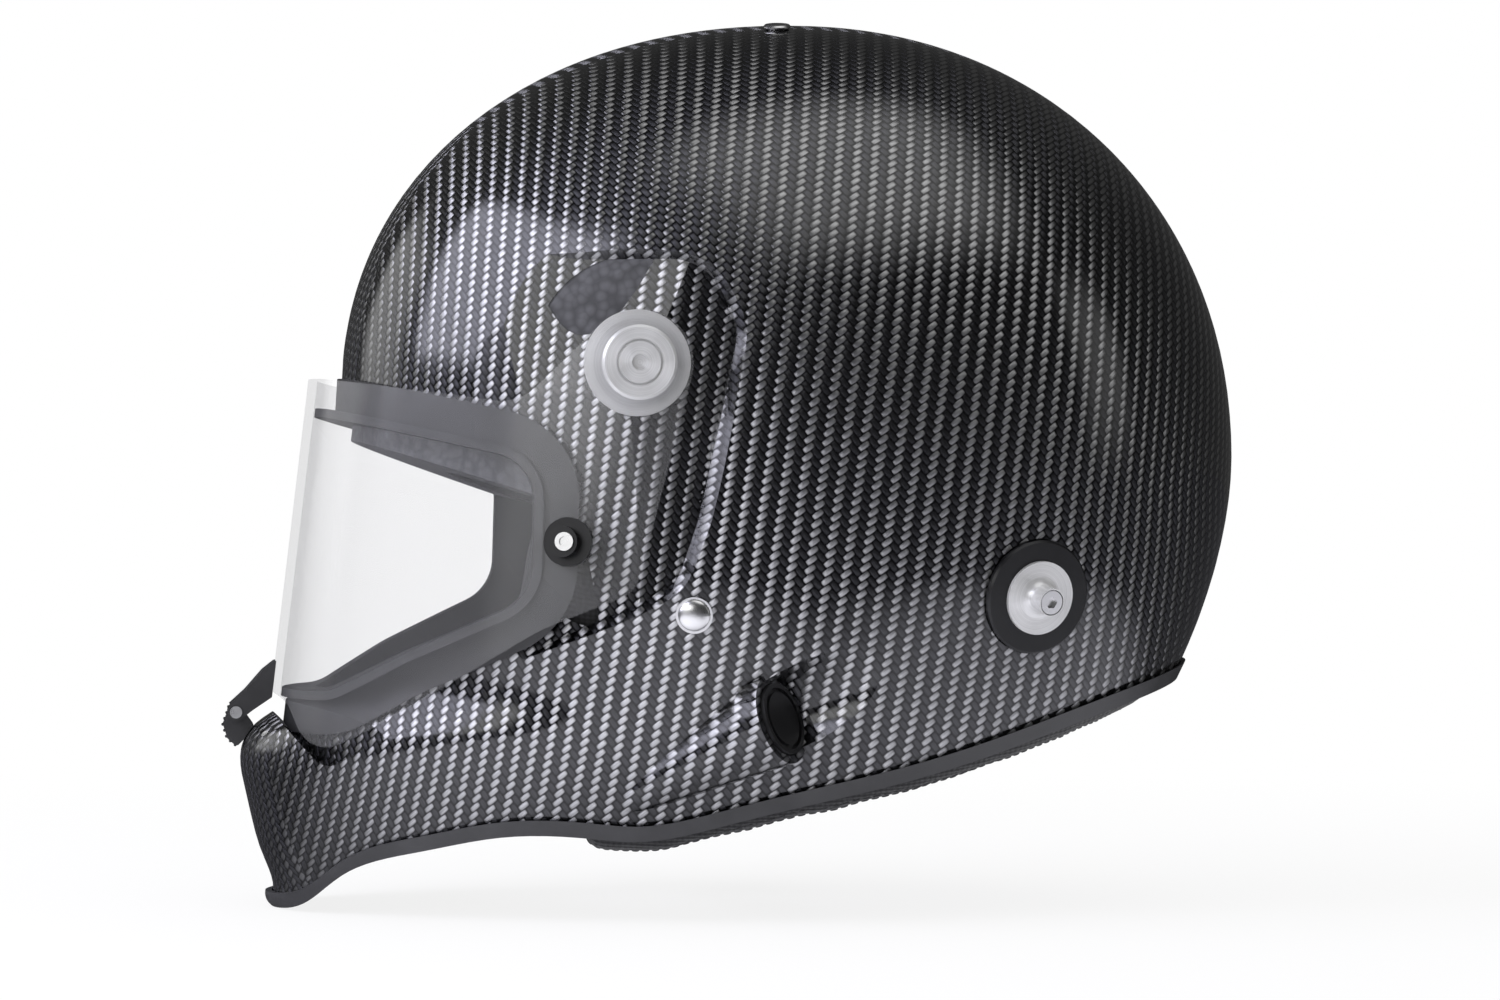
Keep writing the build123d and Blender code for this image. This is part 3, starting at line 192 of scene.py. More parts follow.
@dataclass(frozen=True)
class CarbonFinish:
    """Clear-coated carbon cloth in a two-by-two twill, laid on the bias."""

    tow_width: float = 2.03 * MILLIMETRE
    bias_degrees: float = 37.5
    half_width: float = 0.125
    half_length: float = 0.149
    crown_height: float = 0.1245
    across_radius: float = 0.128
    along_radius: float = 0.153
    chin_growth: float = 0.45
    chin_level: float = -0.03
    up_radius: float = 0.130
    side_reach: float = 4.0
    relief: float = 0.5 * MILLIMETRE
    # The bright warp colour is a painted highlight and the dark weft colour is painted shade: both tow sets
    # are the same fibre.
    warp_highlight_colour: tuple = (0.66, 0.66, 0.67, 1.0)
    weft_shade_colour: tuple = (0.07, 0.07, 0.075, 1.0)
    # The gap colour is the dark resin at the tow joints and also painted shade where the tows dip under one
    # another.
    gap_resin_and_shade_colour: tuple = (0.004, 0.004, 0.005, 1.0)
    roughness: float = 0.42
    anisotropy: float = 0.95

    def arc(self, graph: Graph, value: Feed, radius: Feed) -> Socket:
        """Give the length round a rounded form to a place along its axis."""
        ratio = graph.sum("DIVIDE", value, radius)
        held = graph.sum("MAXIMUM", graph.sum("MINIMUM", ratio, 1.0), -1.0)
        return graph.sum("MULTIPLY", graph.sum("ARCSINE", held), radius)

    def dome(self, graph: Graph, part: Feed) -> Socket:
        """Give the round height over a part from 0 to 1."""
        rest = graph.sum("SUBTRACT", 1.0, part)
        return graph.sum("POWER", graph.sum("MULTIPLY", graph.sum("MULTIPLY", part, rest), 4.0), 0.5)

    def sheet_place(self, graph: Graph) -> tuple[Socket, Socket, Socket, Socket]:
        """Lay the cloth's plies on the side, the ends and the crown.

        Args:
            graph: the material's tree.

        Returns:
            Two places on the cloth in metres, and the directions of each in the frame.
        """
        x, y, z = graph.split(graph.place())
        across = self.arc(graph, x, self.across_radius)
        below = graph.sum("MAXIMUM", graph.sum("SUBTRACT", self.chin_level, z), 0.0)
        radius = graph.sum("ADD", graph.sum("MULTIPLY", below, self.chin_growth), self.along_radius)
        along = self.arc(graph, y, radius)
        risen = self.arc(graph, graph.sum("MAXIMUM", z, 0.0), self.up_radius)
        up = graph.sum("ADD", risen, graph.sum("MINIMUM", z, 0.0))
        side = graph.sum("MULTIPLY", graph.sum("ABSOLUTE", x), self.side_reach / self.half_width)
        end = graph.sum("DIVIDE", graph.sum("ABSOLUTE", y), self.half_length)
        crown = graph.sum("DIVIDE", z, self.crown_height)
        off_side = graph.sum("LESS_THAN", side, graph.sum("MAXIMUM", end, crown))
        is_end = graph.sum("MULTIPLY", off_side, graph.sum("GREATER_THAN", end, crown))
        is_crown = graph.sum("SUBTRACT", off_side, is_end)
        u = graph.between(is_end, along, across)
        v = graph.between(is_crown, up, across)
        u_way = graph.joined(is_end, graph.sum("SUBTRACT", 1.0, is_end), 0.0)
        v_way = graph.joined(is_crown, 0.0, graph.sum("SUBTRACT", 1.0, is_crown))
        return u, v, u_way, v_way

    def build(self) -> bpy.types.Material:
        """Build the material.

        Returns:
            The clear-coated carbon material.
        """
        graph = Graph("clear_coated_carbon")
        u, v, u_way, v_way = self.sheet_place(graph)
        lean = math.radians(self.bias_degrees)
        cos, sin = math.cos(lean), math.sin(lean)
        cos_share, sin_share = cos / self.tow_width, sin / self.tow_width
        s = graph.sum("ADD", graph.sum("MULTIPLY", u, cos_share), graph.sum("MULTIPLY", v, sin_share))
        t = graph.sum("SUBTRACT", graph.sum("MULTIPLY", v, cos_share), graph.sum("MULTIPLY", u, sin_share))
        column, row = graph.sum("FLOOR", s), graph.sum("FLOOR", t)
        s_part, t_part = graph.sum("FRACT", s), graph.sum("FRACT", t)
        step = graph.sum("FLOORED_MODULO", graph.sum("SUBTRACT", column, row), 4.0)
        warp = graph.sum("LESS_THAN", step, 1.5)
        warp_run = graph.sum("MULTIPLY", graph.sum("ADD", step, s_part), 0.5)
        weft_run = graph.sum("MULTIPLY", graph.sum("ADD", graph.sum("SUBTRACT", 3.0, step), t_part), 0.5)
        run = graph.between(warp, weft_run, warp_run)
        cross = graph.between(warp, s_part, t_part)
        body = graph.sum("MULTIPLY", self.dome(graph, cross), self.dome(graph, run))
        slow_s, fast_s = graph.sum("MULTIPLY", s, 0.25), graph.sum("MULTIPLY", s, 9.0)
        slow_t, fast_t = graph.sum("MULTIPLY", t, 0.25), graph.sum("MULTIPLY", t, 9.0)
        warp_streaks = graph.noise(graph.joined(slow_s, fast_t, 0.0), 1.0)
        weft_streaks = graph.noise(graph.joined(fast_s, slow_t, 3.0), 1.0)
        streaks = graph.between(warp, weft_streaks, warp_streaks)
        # Each float's colour darkens from its crest to its edges: painted shade where the tows dip under
        # one another, times the fibres' own random streaks.
        relief_shade_and_mottle = graph.sum("MULTIPLY", graph.remap(body, 0.2, 0.9), graph.remap(streaks, 0.2, 0.8, 0.55, 1.0))
        # The warp floats take a painted highlight colour and the weft floats a painted shade colour, though
        # both are the same fibre.
        fibre_light_and_shade = graph.colour(warp, self.weft_shade_colour, self.warp_highlight_colour)
        colour = graph.colour(relief_shade_and_mottle, self.gap_resin_and_shade_colour, fibre_light_and_shade)
        warp_side = graph.vector("ADD", graph.scaled(u_way, -sin), graph.scaled(v_way, cos)).outputs[0]
        weft_side = graph.vector("ADD", graph.scaled(u_way, cos), graph.scaled(v_way, sin)).outputs[0]
        sides = {0: warp, 4: weft_side, 5: warp_side}
        turn = graph.node("ShaderNodeMix", sides, data_type="VECTOR").outputs[1]
        height = graph.sum("ADD", body, graph.sum("MULTIPLY", streaks, 0.12))
        shader = graph.principled({
            "Base Color": colour,
            "Metallic": 1.0,
            "Roughness": graph.remap(streaks, 0.2, 0.8, self.roughness + 0.06, self.roughness - 0.04),
            "Anisotropic": self.anisotropy,
            "Tangent": turn,
            "Normal": graph.bump(height, self.relief, 0.9),
            "Coat Weight": 1.0,
            "Coat Roughness": 0.02,
            "Coat IOR": 1.5,
        })
        return graph.finish(shader.outputs[0])


@dataclass(frozen=True)
class LensFinish:
    """Clear polycarbonate with a faint milky haze."""

    haze: float = 0.03
    bend: float = 1.4
    most_gloss: float = 0.2
    tint: tuple = (0.99, 0.99, 0.992, 1.0)

    def build(self) -> bpy.types.Material:
        """Build the material.

        Returns:
            The lens material.
        """
        graph = Graph("clear_polycarbonate")
        smear = graph.noise(graph.place(), 18.0, 3.0)
        clear = graph.node("ShaderNodeBsdfTransparent", {"Color": self.tint})
        milk = graph.principled({
            "Base Color": graph.colour(smear, (0.88, 0.88, 0.89, 1.0), (0.95, 0.95, 0.96, 1.0)),
            "Roughness": 0.6,
        })
        hazed = graph.node("ShaderNodeMixShader", {0: self.haze, 1: clear.outputs[0], 2: milk.outputs[0]})
        gloss = graph.node("ShaderNodeBsdfGlossy", {"Roughness": graph.remap(smear, 0.3, 0.8, 0.01, 0.03)})
        fresnel = graph.node("ShaderNodeFresnel", {"IOR": self.bend}).outputs[0]
        back = graph.node("ShaderNodeNewGeometry").outputs["Backfacing"]
        outer = graph.sum("MULTIPLY", fresnel, graph.sum("SUBTRACT", 1.0, back))
        share = graph.sum("MINIMUM", outer, self.most_gloss)
        through = graph.node("ShaderNodeMixShader", {0: share, 1: hazed.outputs[0], 2: gloss.outputs[0]})
        return graph.finish(through.outputs[0])


@dataclass(frozen=True)
class SatinFinish:
    """Moulded rubber or plastic with a fine grain and faint handling marks."""

    name: str
    colour: tuple
    roughness: float
    grain: float = 1400.0
    relief: float = 0.03 * MILLIMETRE
    metallic: float = 0.0

    def build(self) -> bpy.types.Material:
        """Build the material.

        Returns:
            The satin material.
        """
        graph = Graph(self.name)
        place = graph.place()
        cloud = graph.noise(place, 60.0, 3.0)
        grain = graph.noise(place, self.grain, 2.0, 0.6)
        pale = tuple(min(1.0, part * 1.35 + 0.004) for part in self.colour[:3]) + (1.0,)
        shader = graph.principled({
            "Base Color": graph.colour(graph.remap(cloud, 0.3, 0.75), self.colour, pale),
            "Metallic": self.metallic,
            "Roughness": graph.remap(cloud, 0.25, 0.8, self.roughness - 0.06, self.roughness + 0.08),
            "Normal": graph.bump(grain, self.relief),
        })
        return graph.finish(shader.outputs[0])


@dataclass(frozen=True)
class TurnedFinish:
    """Lathe-turned metal, whose rings run round the axis of the piece."""

    name: str
    centre: tuple
    axis: tuple
    colour: tuple = (0.9, 0.9, 0.9, 1.0)
    roughness: float = 0.5
    pitch: float = 0.35 * MILLIMETRE
    metallic: float = 0.6

    def build(self) -> bpy.types.Material:
        """Build the material, alike on the left piece and its mirror twin.

        Returns:
            The turned metal material.
        """
        graph = Graph(self.name)
        x, y, z = graph.split(graph.place())
        left = graph.joined(graph.sum("ABSOLUTE", x), y, z)
        from_centre = graph.vector("SUBTRACT", left, self.centre).outputs[0]
        depth = graph.vector("DOT_PRODUCT", from_centre, self.axis).outputs["Value"]
        flat = graph.vector("SUBTRACT", from_centre, graph.scaled(self.axis, depth)).outputs[0]
        radius = graph.vector("LENGTH", flat).outputs["Value"]
        rings = graph.noise(graph.joined(graph.sum("DIVIDE", radius, self.pitch), 0.0, 0.0), 1.0, 3.0, 0.7)
        wear = graph.noise(graph.place(), 220.0, 3.0)
        dark = tuple(part * 0.72 for part in self.colour[:3]) + (1.0,)
        outward = graph.vector("MULTIPLY", flat, graph.joined(graph.sum("SIGN", x), 1.0, 1.0)).outputs[0]
        shader = graph.principled({
            "Base Color": graph.colour(graph.remap(rings, 0.25, 0.8), dark, self.colour),
            "Metallic": self.metallic,
            "Roughness": graph.remap(wear, 0.2, 0.8, self.roughness - 0.05, self.roughness + 0.09),
            "Anisotropic": 0.7,
            "Tangent": outward,
            "Normal": graph.bump(rings, 0.02 * MILLIMETRE),
        })
        return graph.finish(shader.outputs[0])


class Weave(Enum):
    """How a textile is made."""

    KNIT = "knit"
    WEBBING = "webbing"


@dataclass(frozen=True)
class TextileFinish:
    """Knitted lining or woven webbing."""

    name: str
    weave: Weave
    colour: tuple
    pitch: float

    def build(self) -> bpy.types.Material:
        """Build the material.

        Returns:
            The textile material.
        """
        graph = Graph(self.name)
        x, y, z = graph.split(graph.place())
        turn = 2 * math.pi / self.pitch
        rise = graph.sum("ADD", z, graph.sum("MULTIPLY", x, 0.35))
        rows = graph.sum("SINE", graph.sum("MULTIPLY", rise, turn))
        column_turn = turn * (0.9 if self.weave is Weave.KNIT else 0.5)
        columns = graph.sum("SINE", graph.sum("MULTIPLY", y, column_turn))
        relief = graph.sum("MULTIPLY", graph.sum("ADD", rows, columns), 0.25)
        fluff = graph.noise(graph.place(), 2500.0, 3.0, 0.7)
        cloud = graph.noise(graph.place(), 35.0, 3.0)
        height = graph.sum("ADD", relief, graph.sum("MULTIPLY", fluff, 0.6))
        # The yarn is paler on the raised rows and darker in the hollows: painted shade from the relief,
        # mixed with a random mottle.
        pale = tuple(min(1.0, part * 2.4 + 0.006) for part in self.colour[:3]) + (1.0,)
        relief_shade_and_mottle = graph.sum("MULTIPLY", graph.remap(height, -0.3, 0.9), graph.remap(cloud, 0.2, 0.8, 0.6, 1.0))
        shader = graph.principled({
            "Base Color": graph.colour(relief_shade_and_mottle, self.colour, pale),
            "Roughness": 0.92,
            "Sheen Weight": 0.25,
            "Sheen Roughness": 0.5,
            "Normal": graph.bump(height, 0.25 * MILLIMETRE),
        })
        return graph.finish(shader.outputs[0])


@dataclass(frozen=True)
class FoamFinish:
    """Moulded bead foam."""

    colour: tuple = (0.055, 0.055, 0.06, 1.0)
    bead: float = 3.0 * MILLIMETRE

    def build(self) -> bpy.types.Material:
        """Build the material.

        Returns:
            The bead foam material.
        """
        graph = Graph("bead_foam")
        inputs = {"Vector": graph.place(), "Scale": 1.0 / self.bead}
        cells = graph.node("ShaderNodeTexVoronoi", inputs, feature="F1")
        near = cells.outputs["Distance"]
        # Each bead is paler on top and darker towards its edges: painted shade between the beads, on top of
        # the real bead joints.
        pale = tuple(part * 1.7 for part in self.colour[:3]) + (1.0,)
        height = graph.sum("SUBTRACT", 1.0, near)
        shader = graph.principled({
            "Base Color": graph.colour(graph.remap(near, 0.2, 0.8), pale, self.colour),
            "Roughness": 0.8,
            "Normal": graph.bump(height, 0.35 * MILLIMETRE),
        })
        return graph.finish(shader.outputs[0])


def dress(node_names: Iterable[str], material: bpy.types.Material) -> None:
    """Give CAD nodes a material.

    Args:
        node_names: the nodes.
        material: their finish.
    """
    for name in node_names:
        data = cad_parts[name].data
        data.materials.clear()
        data.materials.append(material)
        LOG.info("dressed %s with %s", name, material.name)


def flattened(piece: bpy.types.Object) -> None:
    """Turn a piece's live modifiers into its mesh."""
    depsgraph = bpy.context.evaluated_depsgraph_get()
    mesh = bpy.data.meshes.new_from_object(piece.evaluated_get(depsgraph))
    piece.modifiers.clear()
    piece.data = mesh


def copied(node_name: str, name: str) -> bpy.types.Object:
    """Copy a CAD node's mesh as a new closed piece.

    Args:
        node_name: the node.
        name: the new piece's name.

    Returns:
        The new piece.
    """
    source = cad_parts[node_name].data
    work = bmesh.new()
    work.from_mesh(source)
    bmesh.ops.remove_doubles(work, verts=work.verts, dist=WELD_DISTANCE)
    mesh = bpy.data.meshes.new(name)
    work.to_mesh(mesh)
    work.free()
    piece = bpy.data.objects.new(name, mesh)
    bpy.context.scene.collection.objects.link(piece)
    return piece


def softened(piece: bpy.types.Object, voxel: float, rounds: int) -> None:
    """Remesh a piece evenly and round its edges.

    Args:
        piece: the piece, changed in place.
        voxel: the size of the new faces in metres.
        rounds: how many times it is smoothed.
    """
    remesh = piece.modifiers.new("remesh", "REMESH")
    remesh.mode = "VOXEL"
    remesh.voxel_size = voxel
    soften = piece.modifiers.new("soften", "SMOOTH")
    soften.factor = SOFTEN_FACTOR
    soften.iterations = rounds
    flattened(piece)


def cover(mesh: bpy.types.Mesh, material: bpy.types.Material) -> None:
    """Give a mesh one finish and smooth shading.

    Args:
        mesh: the mesh, changed in place.
        material: its finish.
    """
    mesh.materials.clear()
    mesh.materials.append(material)
    for polygon in mesh.polygons:
        polygon.use_smooth = True


@dataclass
class PaddedPiece:
    """A stuffed or foam piece in a textile cover, softened from its solid."""

    node_name: str
    name: str
    fill: float
    voxel: float = 3.2 * MILLIMETRE
    rounds: int = 14
    wrinkle: float = 0.5 * MILLIMETRE

    def build(self, material: bpy.types.Material) -> bpy.types.Object:
        """Build the piece in its node's place.

        Args:
            material: the cover's finish.

        Returns:
            The padded piece, riding with its body.
        """
        piece = copied(self.node_name, self.name)
        softened(piece, self.voxel, self.rounds)
        self.ruffle(piece)
        cover(piece.data, material)
        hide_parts(self.node_name)
        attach(piece, "shell")
        LOG.info("padded %s: %d faces", self.name, len(piece.data.polygons))
        return piece

    def ruffle(self, piece: bpy.types.Object) -> None:
        """Sink the cover in soft folds."""
        folds = 2 * math.pi / FOLD_WAVELENGTH
        for vertex in piece.data.vertices:
            place = vertex.co
            along = math.sin(folds * (place.y + 0.4 * place.z))
            wave = along * math.sin(folds * 0.6 * (place.x - place.z))
            vertex.co = place - vertex.normal * self.wrinkle * (1 + wave) * 0.5


def add_piece(name: str, mesh: bpy.types.Mesh, material: bpy.types.Material) -> bpy.types.Object:
    """Add a smooth piece of one material.

    Args:
        name: the piece's name.
        mesh: its mesh.
        material: its finish.

    Returns:
        The new piece.
    """
    piece = bpy.data.objects.new(name, mesh)
    bpy.context.scene.collection.objects.link(piece)
    cover(mesh, material)
    return piece


class Lie(Enum):
    """How repeated pieces lie on their line."""

    ALONG = "along"
    ACROSS = "across"


class RepeatTree:
    """The node tree that lays one small piece again and again along lines."""

    def __init__(self, lie: Lie) -> None:
        """Build the tree.

        Args:
            lie: how the small pieces lie on their line.
        """
        self.group = bpy.data.node_groups.new("repeat_" + lie.value, "GeometryNodeTree")
        self.add_socket("Geometry", "NodeSocketGeometry")
        for name in ("Pitch", "Length", "Radius", "Wander"):
            self.add_socket(name, "NodeSocketFloat")
        self.add_socket("Seed", "NodeSocketInt")
        self.add_socket("Finish", "NodeSocketMaterial")
        self.group.interface.new_socket("Geometry", in_out="OUTPUT", socket_type="NodeSocketGeometry")
        self.given = self.group.nodes.new("NodeGroupInput")
        self.link_all(lie)

    def add_socket(self, name: str, kind: str) -> None:
        """Add a named input."""
        self.group.interface.new_socket(name, in_out="INPUT", socket_type=kind)

    def node(self, kind: str, links: dict, **settings: object) -> bpy.types.Node:
        """Add a node with some inputs linked or set.

        Args:
            kind: Blender's name of the node's type.
            links: outputs or values for its inputs.
            settings: properties of the node.

        Returns:
            The node.
        """
        made = self.group.nodes.new(kind)
        for key, value in settings.items():
            setattr(made, key, value)
        for key, value in links.items():
            if isinstance(value, bpy.types.NodeSocket):
                self.group.links.new(value, made.inputs[key])
            else:
                made.inputs[key].default_value = value
        return made

    def link_all(self, lie: Lie) -> None:
        """Link the nodes from the lines to the finished small pieces.

        Args:
            lie: how the small pieces lie on their line.
        """
        given = self.given.outputs
        curve = self.node("GeometryNodeMeshToCurve", {0: given["Geometry"]})
        spaced = self.node("GeometryNodeResampleCurve", {0: curve.outputs[0]})
        self.pick_length(spaced, given["Pitch"])
        ball = self.node("GeometryNodeMeshUVSphere", {"Segments": 10, "Rings": 7, "Radius": 1.0})
        half = self.node("ShaderNodeMath", {0: given["Length"], 1: 0.5}, operation="MULTIPLY")
        radius = given["Radius"]
        size = self.node("ShaderNodeCombineXYZ", {0: radius, 1: radius, 2: half.outputs[0]})
        grain = self.node("GeometryNodeTransform", {0: ball.outputs[0], "Scale": size.outputs[0]})
        if lie is Lie.ALONG:
            way = self.node("GeometryNodeInputTangent", {}).outputs[0]
        else:
            way = self.node("ShaderNodeCombineXYZ", {0: 1.0}).outputs[0]
        turn = self.node("FunctionNodeAlignRotationToVector", {"Vector": way}, axis="Z")
        low = self.node("ShaderNodeMath", {0: given["Wander"], 1: -1.0}, operation="MULTIPLY")
        chance = self.node("FunctionNodeRandomValue", {"Seed": given["Seed"]}, data_type="FLOAT_VECTOR")
        for number, edge in ((0, low.outputs[0]), (1, given["Wander"])):
            spread = self.node("ShaderNodeCombineXYZ", {0: edge, 1: edge, 2: edge})
            self.group.links.new(spread.outputs[0], chance.inputs[number])
        laid = self.node("GeometryNodeInstanceOnPoints", {
            "Points": spaced.outputs[0], "Instance": grain.outputs[0], "Rotation": turn.outputs[0]
        })
        moved = self.node("GeometryNodeTranslateInstances", {
            0: laid.outputs[0], "Translation": chance.outputs[0]
        })
        real = self.node("GeometryNodeRealizeInstances", {0: moved.outputs[0]})
        dressed = self.node("GeometryNodeSetMaterial", {0: real.outputs[0], "Material": given["Finish"]})
        self.node("NodeGroupOutput", {0: dressed.outputs[0]})

    def pick_length(self, spaced: bpy.types.Node, pitch: Socket) -> None:
        """Space the points by a length, however this Blender names that option."""
        if hasattr(spaced, "mode"):
            spaced.mode = "LENGTH"
        else:
            spaced.inputs["Mode"].default_value = "Length"
        self.group.links.new(pitch, spaced.inputs["Length"])


@dataclass(frozen=True)
class Repeats:
    """Small rounded pieces, such as stitches or ribs, along lines."""

    name: str
    lie: Lie
    pitch: float
    length: float
    radius: float
    wander: float = 0.05 * MILLIMETRE
    seed: int = 7

    def build(self, lines: list, material: bpy.types.Material, body: str) -> bpy.types.Object:
        """Lay the pieces along some lines and let them ride a body.

        Args:
            lines: lists of places.
            material: the pieces' finish.
            body: the body that they ride.

        Returns:
            One plain mesh of all the pieces.
        """
        places = [place for line in lines for place in line]
        edges, start = [], 0
        for line in lines:
            edges += [(start + step, start + step + 1) for step in range(len(line) - 1)]
            start += len(line)
        guide = bpy.data.meshes.new(self.name + "_guide")
        guide.from_pydata(places, edges, [])
        carrier = bpy.data.objects.new(self.name + "_guide", guide)
        bpy.context.scene.collection.objects.link(carrier)
        group = RepeatTree(self.lie).group
        modifier = carrier.modifiers.new("repeats", "NODES")
        modifier.node_group = group
        values = {
            "Pitch": self.pitch,
            "Length": self.length,
            "Radius": self.radius,
            "Wander": self.wander,
            "Seed": self.seed,
            "Finish": material,
        }
        for item in group.interface.items_tree:
            if item.in_out == "INPUT" and item.name in values:
                modifier[item.identifier] = values[item.name]
        depsgraph = bpy.context.evaluated_depsgraph_get()
        mesh = bpy.data.meshes.new_from_object(carrier.evaluated_get(depsgraph))
        carrier.modifiers.clear()
        bpy.data.objects.remove(carrier)
        piece = add_piece(self.name, mesh, material)
        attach(piece, body)
        LOG.info("laid %s: %d faces on %d lines", self.name, len(mesh.polygons), len(lines))
        return piece


@dataclass(frozen=True)
class Caster:
    """Casts lines onto a piece's surface."""

    target: bpy.types.Object
    lift: float = 0.1 * MILLIMETRE
    largest_step: float = 6.0 * MILLIMETRE
    fewest_places: int = 4

    def line(self, rays: Iterable[tuple]) -> list:
        """Find where rays meet the piece, split where they miss it or jump.

        Args:
            rays: pairs of a start and a direction.

        Returns:
            Lists of places, each a line on the surface.
        """
        graph = bpy.context.evaluated_depsgraph_get()
        tree = BVHTree.FromObject(self.target, graph)
        lines, line = [], []
        for start, way in rays:
            hit, normal, _, _ = tree.ray_cast(Vector(start), Vector(way))
            if hit is None:
                lines.append(line)
                line = []
                continue
            place = hit + normal * self.lift
            if line and (place - line[-1]).length > self.largest_step:
                lines.append(line)
                line = []
            line.append(place)
        lines.append(line)
        return [found for found in lines if len(found) >= self.fewest_places]


@dataclass
class Webbing:
    """A flat woven strap with rounded edges, in its solid's place."""

    node_name: str
    name: str
    weave_step: float = 0.75 * MILLIMETRE
    rounds: int = 3

    def build(self, material: bpy.types.Material) -> bpy.types.Object:
        """Build the strap.

        Args:
            material: the webbing's finish.

        Returns:
            The strap, riding with the shell.
        """
        piece = copied(self.node_name, self.name)
        softened(piece, self.weave_step, self.rounds)
        cover(piece.data, material)
        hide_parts(self.node_name)
        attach(piece, "shell")
        LOG.info("wove %s: %d faces", self.name, len(piece.data.polygons))
        return piece


@dataclass
class Helmet:
    """The helmet's CAD pieces, dressed, and its padding, rebuilt."""

    pivot_centre: tuple
    tether_centre: tuple
    tether_axis: tuple

    def build_shell(self) -> None:
        """Dress the shell."""
        dress(["outer_shell"], CarbonFinish().build())

    def build_visor(self) -> None:
        """Dress the lens, its posts and the latch."""
        dress(["visor_lens"], LensFinish().build())
        dark = (0.012, 0.012, 0.013, 1.0)
        black = SatinFinish("black_anodised", dark, 0.34, 2200.0, 0.01 * MILLIMETRE, 0.4).build()
        dress(["tear_off_posts", "port_plugs", "tether_washers"], black)
        plastic = SatinFinish("black_moulding", (0.02, 0.02, 0.021, 1.0), 0.42).build()
        dress(["latch_bracket", "latch_lever", "strap_snap"], plastic)
        self.build_grip(plastic)

    def build_grip(self, plastic: bpy.types.Material) -> None:
        """Set ribs across the latch lever's thumb face.

        Args:
            plastic: the lever's finish.
        """
        pace, count = 0.4 * MILLIMETRE, 40
        rays = [((0, -0.2, -0.100 - step * pace), (0, 1, 0)) for step in range(count)]
        lines = Caster(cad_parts["latch_lever"]).line(rays)
        size = (1.9 * MILLIMETRE, 9.0 * MILLIMETRE, 0.5 * MILLIMETRE)
        Repeats("grip_ribs", Lie.ACROSS, *size, wander=0.0).build(lines, plastic, "latch")

    def build_rubber(self) -> None:
        """Dress the gasket and the edge trim."""
        black = (0.018, 0.018, 0.019, 1.0)
        gasket = SatinFinish("gasket_rubber", black, 0.5, 2600.0, 0.008 * MILLIMETRE).build()
        dress(["eyeport_gasket"], gasket)
        grey = (0.035, 0.035, 0.037, 1.0)
        trim = SatinFinish("trim_rubber", grey, 0.44, 900.0, 0.05 * MILLIMETRE).build()
        dress(["edge_trim"], trim)

    def build_metal(self) -> None:
        """Dress the screws, posts, rivets and rings."""
        turned = TurnedFinish("turned_aluminium", self.pivot_centre, (1.0, 0.0, 0.0)).build()
        dress(["pivot_screws", "pivot_plates"], turned)
        pale = (0.9, 0.9, 0.9, 1.0)
        post = TurnedFinish("turned_post", self.tether_centre, self.tether_axis, pale, 0.4).build()
        dress(["tether_posts"], post)
        silver = (0.62, 0.62, 0.62, 1.0)
        steel = SatinFinish("satin_steel", silver, 0.28, 900.0, 0.01 * MILLIMETRE, 1.0).build()
        dress(["tether_screws", "tear_off_screws", "strap_rivets"], steel)
        dress(["latch_pin", "d_ring_upper", "d_ring_lower"], steel)
        dull = (0.5, 0.5, 0.5, 1.0)
        bright = SatinFinish("crown_plug_metal", dull, 0.3, 900.0, 0.01 * MILLIMETRE, 1.0).build()
        dress(["crown_plugs"], bright)

    def build_lining(self) -> None:
        """Dress the foam and rebuild the padded pieces."""
        dress(["eps_liner"], FoamFinish().build())
        black = (0.013, 0.013, 0.014, 1.0)
        knit = TextileFinish("black_knit", Weave.KNIT, black, 1.6 * MILLIMETRE).build()
        webbing = TextileFinish("black_webbing", Weave.WEBBING, black, 1.1 * MILLIMETRE).build()
        straps = [
            Webbing("chin_strap_left", "long_strap").build(webbing),
            Webbing("chin_strap_right", "short_strap").build(webbing),
        ]
        cushions = {}
        for piece in (
            PaddedPiece("crown_pad", "crown_lining", 0.5, 4.5 * MILLIMETRE, 8),
            PaddedPiece("chin_liner", "chin_lining", 0.7),
            PaddedPiece("neck_roll", "neck_cushion", 0.7),
            PaddedPiece("cheek_pad_left", "cheek_cushion_left", 0.7),
            PaddedPiece("cheek_pad_right", "cheek_cushion_right", 0.7),
        ):
            cushions[piece.name] = piece.build(knit)
        self.build_stitches(straps, cushions)

    def build_stitches(self, straps: list, cushions: dict) -> None:
        """Sew the straps and the cushions.

        Args:
            straps: the two straps.
            cushions: the padded pieces by name.
        """
        thread = SatinFinish("grey_thread", (0.05, 0.05, 0.052, 1.0), 0.7).build()
        seam = (3.4 * MILLIMETRE, 2.6 * MILLIMETRE, 0.33 * MILLIMETRE)
        edge = (2.6 * MILLIMETRE, 1.9 * MILLIMETRE, 0.28 * MILLIMETRE)
        for name, size, lines in (
            ("neck_stitches", seam, self.neck_lines(cushions["neck_cushion"])),
            ("cheek_stitches", seam, self.cheek_lines(cushions)),
            ("strap_stitches", edge, self.strap_lines(straps)),
        ):
            Repeats(name, Lie.ALONG, *size).build(lines, thread, "shell")

